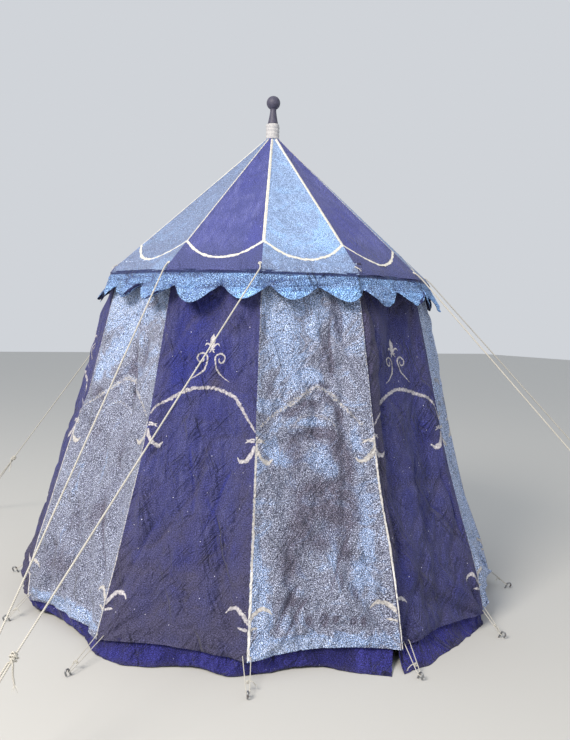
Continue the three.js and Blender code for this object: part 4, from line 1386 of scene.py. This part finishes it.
# %% [markdown]
# ## Rope and cord
#
# The guy ropes are cotton, about 8 mm thick, of three strands laid together with a twist. A rope is a
# section with three round lobes, carried along a path and turned steadily as it goes, so the twist is true
# geometry and catches the light at any size. Each guy rope starts at an eyelet near a corner of the roof,
# runs to its stake, goes round it and comes back to a hitch on itself, from which a short tail hangs with
# its end frayed. Two more eyelets still hold the cut end of an old rope.

# %% Paths and rope sections
# The length in which a strand goes once round the rope, and how far apart the rings of its surface are.
ROPE_LAY = 0.030
ROPE_RING = 0.0038
# Loose yarns at a cut end.
YARNS = 9


def unit(vectors):
    """Vectors divided by their own length."""
    return vectors / (np.linalg.norm(vectors, axis=-1, keepdims=True) + 1e-12)


def rounded_path(points, ring, blend):
    """Straight stretches walked in equal steps, with corners rounded by a mean over blend steps each way."""
    points = np.asarray(points, float)
    walked = np.concatenate([[0], np.cumsum(np.linalg.norm(np.diff(points, axis=0), axis=1))])
    even = np.linspace(0, walked[-1], max(4, int(round(walked[-1] / ring)) + 1))
    path = np.stack([np.interp(even, walked, points[:, axis]) for axis in range(3)], axis=1)
    padded = np.vstack([np.repeat(path[:1], blend, axis=0), path, np.repeat(path[-1:], blend, axis=0)])
    sums = np.cumsum(np.vstack([np.zeros((1, 3)), padded]), axis=0)
    window = 2 * blend + 1
    mean = (sums[window:] - sums[:-window]) / window
    edge = np.minimum(np.arange(len(path)), np.arange(len(path))[::-1])
    keep = eased(edge, 2 * blend, 0)[:, None]
    return path * keep + mean * (1 - keep)


def rope_grid(path, radius, reference, sides=12, lobes=3, lay=ROPE_LAY):
    """Rings of a laid rope: radius R(0.80 + 0.20 |cos(lobes a / 2)|) at angle a, turned once in each lay."""
    heading = unit(np.gradient(path, axis=0))
    reference = np.broadcast_to(np.asarray(reference, float), path.shape)
    normal = unit(reference - (reference * heading).sum(axis=1, keepdims=True) * heading)
    binormal = np.cross(heading, normal)
    angle = np.arange(sides) * 2 * math.pi / sides
    lobe = np.abs(np.cos(lobes * angle / 2))
    radii = np.broadcast_to(np.asarray(radius, float).reshape(-1, 1), (len(path), 1)) * (0.80 + 0.20 * lobe)
    walked = np.concatenate([[0], np.cumsum(np.linalg.norm(np.diff(path, axis=0), axis=1))])
    spin = angle[None, :] + 2 * math.pi * walked[:, None] / lay
    ring = np.cos(spin)[..., None] * normal[:, None] + np.sin(spin)[..., None] * binormal[:, None]
    shade = np.broadcast_to(1 - lobe, spin.shape)
    return path[:, None] + radii[..., None] * ring, shade


def joined_tubes(name, tubes, material):
    """Closed tubes as one mesh: each is a grid of rings with a mask of painted shade for its grooves, capped
    at both ends.
    """
    points, faces, grooves, seen = [], [], [], 0
    for rings, groove_shade in tubes:
        rows, columns = rings.shape[:2]
        numbers = seen + np.arange(rows * columns).reshape(rows, columns)
        faces += quads(np.hstack([numbers, numbers[:, :1]]))
        faces += [numbers[0, ::-1].tolist(), numbers[-1].tolist()]
        points.append(rings.reshape(-1, 3))
        grooves.append(np.asarray(groove_shade, float).ravel())
        seen += rows * columns
    masks = {"groove_shade": np.concatenate(grooves)}
    return make_piece(name, np.concatenate(points), faces, material, masks)


def frayed_end(place, heading, length, radius, seed):
    """Loose yarns at a cut end: each a thin tapering tube that leaves the rope a little off its heading."""
    draw = np.random.default_rng(seed)
    yarns = []
    for _ in range(YARNS):
        drift = unit(heading + 0.45 * draw.normal(size=3))
        droop = np.array([0, 0, -0.3 * length])
        part = np.linspace(0, 1, 7)[:, None]
        path = place + part * drift * length * draw.uniform(0.6, 1.0) + part**2 * droop
        thickness = radius * 0.22 * (1 - 0.7 * part[:, 0])
        yarns.append(rope_grid(path, thickness, np.cross(heading, drift + 1e-3), sides=5, lobes=0))
    return yarns


print("a rope turns once in", 1000 * ROPE_LAY, "mm")


# %% Rope, wood and steel
# Sizes of the patterns, as parts of a metre: grime and fibres of a rope, zinc mottle and rust on a peg.
ROPE_GRIME = 1 / 14
ROPE_FIBRE = 1 / 700
ZINC_MOTTLE = 1 / 220
RUST_PATCH = 1 / 60


def rope_material():
    """Natural cotton rope: pale strands, painted shade in the grooves between them, and grime along its
    length.
    """
    finish = new_material("laid cotton rope", Roughness=0.9, Specular_IOR_Level=0.2, Sheen_Weight=0.1)
    material, tree, shader = finish
    place = add(tree, "TexCoord", out="Object")
    grime = add(tree, "TexNoise", {"Vector": place, "Scale": 1 / ROPE_GRIME, "Detail": 3.0})
    fibre = add(tree, "TexNoise", {"Vector": place, "Scale": 1 / ROPE_FIBRE, "Detail": 2.0})
    groove_shade = mask_of(tree, "groove_shade")
    shade = add(tree, "Mix", {0: grime, 6: colour("#cfccc3"), 7: colour("#f3f1ea")}, 2, data_type="RGBA")
    # The grooves between the strands are darkened as painted shade.
    depth = add(tree, "Math", {0: groove_shade, 1: 0.75}, operation="MULTIPLY")
    shade = add(tree, "Mix", {0: depth, 6: shade, 7: colour("#6f695c")}, 2, data_type="RGBA")
    bump = add(tree, "Bump", {"Height": fibre, "Strength": 0.4, "Distance": 0.0006})
    tree.links.new(shade, shader.inputs["Base Color"])
    tree.links.new(bump, shader.inputs["Normal"])
    return material


def wood_material(name, pale, dark, grain, stretch):
    """Wood: noise stretched along the grain gives its lines, from pale to dark, and a shallow bump."""
    material, tree, shader = new_material(name, Roughness=0.72, Specular_IOR_Level=0.3)
    place = add(tree, "TexCoord", out="Object")
    stretched = add(tree, "Mapping", {"Vector": place, "Scale": stretch})
    noise = {"Vector": stretched, "Scale": 1 / grain, "Detail": 5.0, "Roughness": 0.65}
    lines = add(tree, "TexNoise", noise)
    line = add(tree, "MapRange", {"Value": lines, "From Min": 0.35, "From Max": 0.65})
    shade = add(tree, "Mix", {0: line, 6: colour(pale), 7: colour(dark)}, 2, data_type="RGBA")
    bump = add(tree, "Bump", {"Height": lines, "Strength": 0.35, "Distance": 0.001})
    tree.links.new(shade, shader.inputs["Base Color"])
    tree.links.new(bump, shader.inputs["Normal"])
    return material


def steel_material():
    """Galvanised steel pegs: metal dulled by mottled zinc, with small patches of rust."""
    material, tree, shader = new_material("galvanised steel peg", Metallic=1.0)
    place = add(tree, "TexCoord", out="Object")
    mottle = add(tree, "TexNoise", {"Vector": place, "Scale": 1 / ZINC_MOTTLE, "Detail": 3.0})
    rusty = add(tree, "TexNoise", {"Vector": place, "Scale": 1 / RUST_PATCH, "Detail": 4.0})
    is_rusty = add(tree, "MapRange", {"Value": rusty, "From Min": 0.56, "From Max": 0.66, "To Max": 0.8})
    shade = add(tree, "Mix", {0: mottle, 6: colour("#77797d"), 7: colour("#a9abad")}, 2, data_type="RGBA")
    shade = add(tree, "Mix", {0: is_rusty, 6: shade, 7: colour("#6b4a35")}, 2, data_type="RGBA")
    rough = add(tree, "MapRange", {"Value": mottle, "To Min": 0.35, "To Max": 0.6})
    tree.links.new(shade, shader.inputs["Base Color"])
    tree.links.new(rough, shader.inputs["Roughness"])
    return material


def painted_material(name, low, high, worn, grain, roughness):
    """Brushed paint: two tones of the paint, small worn places, and a fine bump left by the brush."""
    material, tree, shader = new_material(name, Roughness=roughness)
    place = add(tree, "TexCoord", out="Object")
    tone = add(tree, "TexNoise", {"Vector": place, "Scale": 1 / grain, "Detail": 4.0, "Roughness": 0.7})
    fine = add(tree, "TexNoise", {"Vector": place, "Scale": 5 / grain, "Detail": 3.0, "Roughness": 0.7})
    is_high = add(tree, "MapRange", {"Value": tone, "From Min": 0.38, "From Max": 0.62})
    is_worn = add(tree, "MapRange", {"Value": fine, "From Min": 0.60, "From Max": 0.70, "To Max": 0.7})
    shade = add(tree, "Mix", {0: is_high, 6: colour(low), 7: colour(high)}, 2, data_type="RGBA")
    shade = add(tree, "Mix", {0: is_worn, 6: shade, 7: colour(worn)}, 2, data_type="RGBA")
    bump = add(tree, "Bump", {"Height": fine, "Strength": 0.3, "Distance": 0.0008})
    tree.links.new(shade, shader.inputs["Base Color"])
    tree.links.new(bump, shader.inputs["Normal"])
    return material


cotton_rope = rope_material()
galvanised_steel = steel_material()
pine = wood_material("varnished pine pole", "#c49a66", "#9a6d3f", 0.006, (1, 1, 0.05))
ash = wood_material("split ash stake", "#a88a60", "#6f5638", 0.005, (1, 1, 0.12))
slate_tones, white_tones = ("#413f52", "#535266", "#6c6b7c"), ("#adadb4", "#cdcccb", "#74747f")
slate_paint = painted_material("slate grey paint on turned wood", *slate_tones, 0.014, 0.55)
collar_paint = painted_material("white paint on canvas sleeve", *white_tones, 0.007, 0.8)
print("rope, steel, wood and paint are ready")

# %% Where the guy ropes run
GUY_RADIUS = 0.004
# Each stake: its bearing in degrees, how far out it is, and the corners whose ropes it holds.
STAKES = {
    1: (30.0, 2.66, (1,)),
    2: (60.0, 2.66, (2,)),
    3: (120.0, 2.66, (4,)),
    4: (150.0, 2.66, (5,)),
    5: (210.0, 2.66, (7,)),
    6: (311.5, 2.80, (10, 11)),
}
STAKE_LEAN = math.radians(42)
STAKE_RADIUS = 0.014
# How far up the stake the rope goes round it, and how much further the next rope does.
ROPE_ON_STAKE = 0.105
SHARED_STEP = 0.034
# An eyelet's distance from the seam and its height, and how deep in it the rope starts.
EYELET_IN = 0.009
EYELET_HEIGHT = 1.910
EYELET_DEPTH = 0.006
# How far a ring or a rope's underside lies off the cloth.
ON_CLOTH = 0.0012


def at_bearing(degrees, out, height, side=0.0):
    """A point so far out on a bearing from the door seam, at a height, and so far aside of that bearing."""
    angle = math.radians(degrees)
    outward = np.array([math.sin(angle), -math.cos(angle), 0])
    sideways = np.array([math.cos(angle), math.sin(angle), 0])
    return out * outward + side * sideways + np.array([0, 0, height])


def leaning_axis(degrees, lean):
    """The direction of a stake or peg that leans away from the tent on its bearing."""
    return at_bearing(degrees, math.sin(lean), math.cos(lean))


def turned(name, profile, base, axis, material, columns=28):
    """A turned solid: (radius, height) pairs joined by a smooth curve and spun about a leaning axis."""
    profile = smooth_path(profile, 0.0035)
    axis = unit(np.asarray(axis, float))
    first = unit(np.cross(axis, [0.31, 0.95, 0.05]))
    second = np.cross(axis, first)
    angle = np.arange(columns) * 2 * math.pi / columns
    ring = np.cos(angle)[:, None] * first + np.sin(angle)[:, None] * second
    radii = np.maximum(profile[:, 0], 0.0004)
    grid = base + radii[:, None, None] * ring[None] + profile[:, 1][:, None, None] * axis
    return joined_tubes(name, [(grid, np.zeros(grid.shape[:2]))], material)


def eyelet_on_roof(corner, lift=0.0):
    """The eyelet near a corner: on the gore left of the seam, a little in from it, lift off the cloth."""
    side = roof_sides[(corner - 1) % PANELS][0]
    s = (EYELET_HEIGHT - side.foot[1]) / side.along[1]
    x = np.array([side.half(s) - EYELET_IN])
    return side.on_cloth(x, np.array([EYELET_HEIGHT]), lift)[0]


print("eyelet of the rope nearest the eye:", np.round(eyelet_on_roof(11), 3))

# %% Knots and eyelets
SPIRAL_STEPS = 16
# Radius of the coil round the rope, then of the one over it.
INNER_COIL, OUTER_COIL = 0.0088, 0.0150
RING_RADIUS = 0.0075
RING_THICKNESS = 0.0024


def coil(centre, pull, side, radius, turns, start, rise):
    """A helix round the line: points at radius about pull, climbing by rise over all its turns."""
    part = np.linspace(0, 1, int(SPIRAL_STEPS * abs(turns)) + 1)[:, None]
    other = np.cross(pull, side)
    angle = start + 2 * math.pi * turns * part
    return centre + radius * (np.cos(angle) * side + np.sin(angle) * other) + rise * part * pull


def half_turn(centre, reach, pull, side, points):
    """Half a circle round a stake or peg, on its side away from the tent: reach is its radius."""
    part = np.linspace(0, math.pi, points)[:, None]
    return centre + reach * (np.cos(part) * side - np.sin(part) * pull)


def hitch_coils(low, pull, side):
    """A coil up the rope, then a path that coils back down over it and leaves a tail hanging."""
    under = coil(low, pull, side, INNER_COIL, turns=-3.25, start=math.pi, rise=0.032)
    top = low + 0.030 * pull
    over = coil(top, pull, side, OUTER_COIL, turns=-2.0, start=math.pi * 1.5, rise=-0.022)
    start, hang = over[-1], np.array([0, 0, -1.0])
    tail = [start + 0.02 * unit(side + hang), start + 0.012 * side + 0.055 * hang]
    tail.append(start + 0.020 * side + 0.085 * hang)
    return under, rounded_path(np.vstack([under[-1:], over, tail]), ROPE_RING, 2)


def eyelet_ring(corner, onward):
    """The worked edge of an eyelet: a thin ring on the roof round the hole that the rope comes out of."""
    normal = unit(eyelet_on_roof(corner, GUY_RADIUS) - eyelet_on_roof(corner, -EYELET_DEPTH))
    across = unit(np.cross(normal, onward))
    along = np.cross(across, normal)
    part = np.linspace(0, 2 * math.pi, 25)[:, None]
    ring = eyelet_on_roof(corner, ON_CLOTH) + RING_RADIUS * (np.cos(part) * across + np.sin(part) * along)
    return rope_grid(ring + 0.001 * normal, RING_THICKNESS, normal, sides=8, lobes=0)


print("a hitch is", round(2000 * (OUTER_COIL + GUY_RADIUS)), "mm across")

# %% Lay the guy ropes
HITCH_DISTANCE = 0.56
EAVE_RADIUS = roof_foot[0] / math.cos(STEP / 2)
# The way off the eave where a rope bends over it: shares of out and up.
EAVE_OUT, EAVE_UP = 0.68, 0.73


def guy_rope(name, corner, degrees, distance, level):
    """One rope from its eyelet over the eave, down to the stake, round it and back up to its own hitch."""
    axis = leaning_axis(degrees, STAKE_LEAN)
    centre = at_bearing(degrees, distance, 0) + level * axis
    over = GUY_RADIUS + ON_CLOTH
    edge = at_bearing(corner * 30, EAVE_RADIUS + over * EAVE_OUT, roof_foot[1] + over * EAVE_UP, -0.004)
    eyelet = eyelet_on_roof(corner, GUY_RADIUS)
    pull = unit(edge - centre)
    side = unit(np.cross(pull, axis))
    hitch = centre + HITCH_DISTANCE * pull
    reach = STAKE_RADIUS + GUY_RADIUS
    turn = half_turn(centre, reach, pull, side, 13)
    down = [eyelet_on_roof(corner, -EYELET_DEPTH), eyelet, edge, hitch, hitch - 0.02 * pull + 0.002 * side]
    line = rounded_path(np.vstack([down, turn]), ROPE_RING, 3)
    low = hitch - 0.015 * pull
    under, tail = hitch_coils(low, pull, side)
    near_hitch = low - reach * side * 0.45 - 0.04 * pull
    back = rounded_path(np.vstack([turn[-1:], near_hitch, under]), ROPE_RING, 2)
    tubes = [rope_grid(line, GUY_RADIUS, axis), rope_grid(back, GUY_RADIUS, 0.7 * axis + 0.3 * pull)]
    tubes.append(rope_grid(tail, GUY_RADIUS, pull + 0.2 * side))
    tubes += frayed_end(tail[-1], unit(tail[-1] - tail[-3]), 0.028, GUY_RADIUS, corner)
    tubes.append(eyelet_ring(corner, edge - eyelet))
    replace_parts(joined_tubes(name, tubes, cotton_rope), name)


rope_number = 0
for number, (degrees, distance, tied_corners) in STAKES.items():
    for order, corner in enumerate(tied_corners):
        rope_number += 1
        level = ROPE_ON_STAKE + order * SHARED_STEP
        guy_rope(f"guy_rope_{rope_number:02d}", corner, degrees, distance, level)
print(rope_number, "guy ropes are laid")

# %% Cut ends of old ropes
STUB_CORNERS = (0, 9)
for corner in STUB_CORNERS:
    start, lifted = eyelet_on_roof(corner, -0.004), eyelet_on_roof(corner, 0.006)
    heading = unit(lifted - start)
    hang = at_bearing(corner * 30, 0.018, -0.012, 0.010)
    path = rounded_path([start, lifted, lifted + hang], ROPE_RING, 1)
    tubes = [rope_grid(path, 0.003, (0.2, 0.3, 0.9), sides=9)]
    tubes += frayed_end(path[-1], unit(hang), 0.024, GUY_RADIUS, corner + 60)
    joined_tubes(f"cut_rope_{corner + 1:02d}", tubes, cotton_rope)
print(len(STUB_CORNERS), "cut ends hang from their eyelets")

# %% [markdown]
# ## Stakes and pegs
#
# Each guy rope ends on a turned ash stake that leans away from the tent, with grooves for the rope and a
# rounded head. Each corner of the hem is held down by a loop of cord round a small steel pin, whose top is
# bent over into a hook so that the cord can't slip off. A pin is a round section carried along a path: up,
# half a circle over, and a short way down.

# %% Ash stakes
# Radius and height along the stake: a straight foot, the two grooves and the head.
STAKE_PROFILE = (
    (0.0120, 0.0), (0.0135, 0.040), (0.0140, 0.086), (0.0122, 0.097), (0.0120, 0.105),
    (0.0122, 0.113), (0.0140, 0.120), (0.0138, 0.128), (0.0124, 0.134), (0.0124, 0.144),
    (0.0142, 0.150), (0.0148, 0.160), (0.0145, 0.166), (0.0120, 0.1695), (0.0040, 0.1700),
)
for number, (degrees, distance, _) in STAKES.items():
    base = at_bearing(degrees, distance, 0)
    axis = leaning_axis(degrees, STAKE_LEAN)
    stake = turned(f"ash_stake_{number}", STAKE_PROFILE, base, axis, ash)
    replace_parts(stake, f"guy_peg_{number:02d}")
print(len(STAKES), "stakes lean", round(math.degrees(STAKE_LEAN)), "degrees away from the tent")

# %% Pegs and loops at the hem
CORD_RADIUS = 0.0025
CORD_RING = 0.0033
CORD_LAY = 0.018
CORD_SIDES = 9
# Each corner's peg: how far out it is, and how many degrees to the side of its corner's bearing.
FOOT_PEGS = (
    (1.596, -0.4), (1.563, -4.5), (1.530, -4.0), (1.585, 1.5),
    (1.600, -1.0), (1.575, 2.0), (1.590, 0.0), (1.570, -2.0),
    (1.530, 4.0), (1.564, 4.5), (1.675, 1.8), (1.624, 0.7),
)
# The loop by the door is tied beside its corner and not at it: metres to the right.
LOOP_ASIDE = {0: 0.055}
LOOP_HEIGHT = 0.092
LOOP_SPREAD = 0.019
# A pin: where the cord goes round it, its radius, how deep it starts, its straight length, and
# the radius and tip of its hook.
PEG_LEAN = math.radians(25)
PEG_LEVEL = 0.024
PEG_RADIUS = 0.0045
PEG_SUNK = 0.003
HOOK_FOOT = 0.031
HOOK_RADIUS = 0.0115
HOOK_TIP = 0.013
CORD_GAP = 0.0005
KNOT_RADIUS = 0.0062


def hooked_peg(name, base, axis):
    """A round pin up its axis, bent over in half a circle away from the tent, and down to a short tip."""
    level = unit(np.array([axis[0], axis[1], 0.0]))
    away = unit(level - (level @ axis) * axis)
    part = np.linspace(0, math.pi, 13)[1:, None]
    shaft = base + np.linspace(-PEG_SUNK, HOOK_FOOT, 9)[:, None] * axis
    bend = shaft[-1] + HOOK_RADIUS * ((1 - np.cos(part)) * away + np.sin(part) * axis)
    tip = bend[-1] - np.linspace(0, HOOK_TIP, 5)[1:, None] * axis
    pin = rope_grid(np.vstack([shaft, bend, tip]), PEG_RADIUS, np.cross(axis, away), lobes=0, lay=1.0)
    return joined_tubes(name, [pin], galvanised_steel)


def hem_loop(corner):
    """A cord from one side of a hem corner down to the peg, half round it, and up to the other side."""
    degrees = 30 * corner
    distance, turn_aside = FOOT_PEGS[corner]
    axis = leaning_axis(degrees + turn_aside, PEG_LEAN)
    centre = at_bearing(degrees + turn_aside, distance, 0) + PEG_LEVEL * axis
    slope = -wall_slope[0] / wall_slope[1]
    wall_out = (wall_foot[0] - (LOOP_HEIGHT - wall_foot[1]) * slope) / math.cos(STEP / 2)
    aside = [LOOP_ASIDE.get(corner, 0.0) + sign * LOOP_SPREAD for sign in (1, -1)]
    out = [wall_out - abs(step) * math.sin(STEP / 2) for step in aside]
    ends = [at_bearing(degrees, o + 0.002, LOOP_HEIGHT, step) for o, step in zip(out, aside)]
    inner = [at_bearing(degrees, o - 0.010, LOOP_HEIGHT + 0.004, step) for o, step in zip(out, aside)]
    pull = unit((ends[0] + ends[1]) / 2 - centre)
    side = unit(np.cross(pull, axis))
    turn = half_turn(centre, PEG_RADIUS + CORD_GAP + CORD_RADIUS, pull, side, 9)
    points = np.vstack([inner[0], ends[0], turn, ends[1], inner[1]])
    cord = rounded_path(points, CORD_RING, 2)
    tubes = [rope_grid(cord, CORD_RADIUS, axis, CORD_SIDES, lay=CORD_LAY)]
    knot_place = centre + pull * 0.055
    knot = coil(knot_place, pull, side, KNOT_RADIUS, turns=2.25, start=corner, rise=0.014)
    tail_end = knot[-1] + 0.03 * side * (1 if corner % 2 else -1) + np.array([0, 0, -0.020])
    tail = [knot[-1] + 0.02 * unit(tail_end - knot[-1]) + 0.012 * axis, tail_end]
    knotted = rounded_path(np.vstack([knot, tail]), CORD_RING, 2)
    tubes.append(rope_grid(knotted, CORD_RADIUS, pull + 0.2 * side, CORD_SIDES, lay=CORD_LAY))
    tubes += frayed_end(tail_end, unit(tail[1] - tail[0]), 0.016, CORD_RADIUS, corner + 40)
    return tubes


for corner in range(PANELS):
    loop = joined_tubes(f"hem_loop_{corner + 1:02d}", hem_loop(corner), cotton_rope)
    distance, turn_aside = FOOT_PEGS[corner]
    base = at_bearing(30 * corner + turn_aside, distance, 0)
    axis = leaning_axis(30 * corner + turn_aside, PEG_LEAN)
    peg = hooked_peg(f"steel_peg_{corner + 1:02d}", base, axis)
    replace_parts(peg, f"foot_peg_{corner + 1:02d}")
    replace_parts(loop, f"foot_peg_{corner + 1:02d}")
print(PANELS, "loops hold the hem down")

# %% [markdown]
# ## Finial, collar and pole
#
# The pole ends in a turned ball on a tapered neck, painted slate grey. Below it a sleeve of white painted
# canvas is bound round the pole where all the roof seams run together. Inside the tent the pole and its
# wheel of spokes are plain varnished pine. Their solids are as they should be, so they only get that wood.

# %% Finial
NECK_FOOT = 2.8313
BALL_HEIGHT = 2.961
BALL_RADIUS = 0.042
ball_angles = np.radians(np.linspace(-62, 87, 22))
ball = [(BALL_RADIUS * math.cos(a), BALL_HEIGHT + BALL_RADIUS * math.sin(a)) for a in ball_angles]
finial_profile = [(0.0290, NECK_FOOT), (0.0315, NECK_FOOT + 0.002), (0.0305, NECK_FOOT + 0.010)]
finial_profile += [(0.0262, NECK_FOOT + 0.032), (0.0222, NECK_FOOT + 0.055), (0.0188, NECK_FOOT + 0.080)]
finial_profile += ball
finial = turned("turned_finial", finial_profile, np.zeros(3), (0, 0, 1), slate_paint, 48)
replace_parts(finial, "finial")
print("finial stands from", NECK_FOOT, "to", round(BALL_HEIGHT + BALL_RADIUS, 3), "m")

# %% Canvas sleeve at the peak
COLLAR_RADIUS = 0.042
COLLAR_FOOT = 2.738
COLLAR_TOP = 2.831
COLLAR_CLOTH = 0.004
COLLAR_COLUMNS = 72
WRAPS, WRAP_DEPTH = 4.0, 0.0012
angle = np.arange(COLLAR_COLUMNS) * 2 * math.pi / COLLAR_COLUMNS
angle, t = np.meshgrid(angle, np.linspace(0, 1, 25))
height = COLLAR_FOOT + 0.001 + (COLLAR_TOP - COLLAR_FOOT - 0.001) * t
wraps = WRAP_DEPTH * np.sin(2 * math.pi * (t * WRAPS + angle / (2 * math.pi)))
radius = COLLAR_RADIUS - WRAP_DEPTH + wraps + 0.0010 * ripple(angle * 3, t * 5, 71)
radius = radius - 0.004 * eased(t, 0.94, 1.0)
radius = radius + 0.0012 * ripple(np.cos(angle) * 3 + 9, np.sin(angle) * 3 + t * 6, 72)
sleeve = np.stack([radius * np.sin(angle), -radius * np.cos(angle), height], axis=-1)
radial = np.stack([np.sin(angle), -np.cos(angle), 0 * angle], axis=-1)
inward = -COLLAR_CLOTH * radial
collar = cloth_piece("canvas_sleeve", sleeve, inward, collar_paint, "rope_white", closed=True)
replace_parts(collar, "roof_collar")
for node in ("centre_pole", "spoke_wheel"):
    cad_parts[node].data.materials.clear()
    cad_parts[node].data.materials.append(pine)
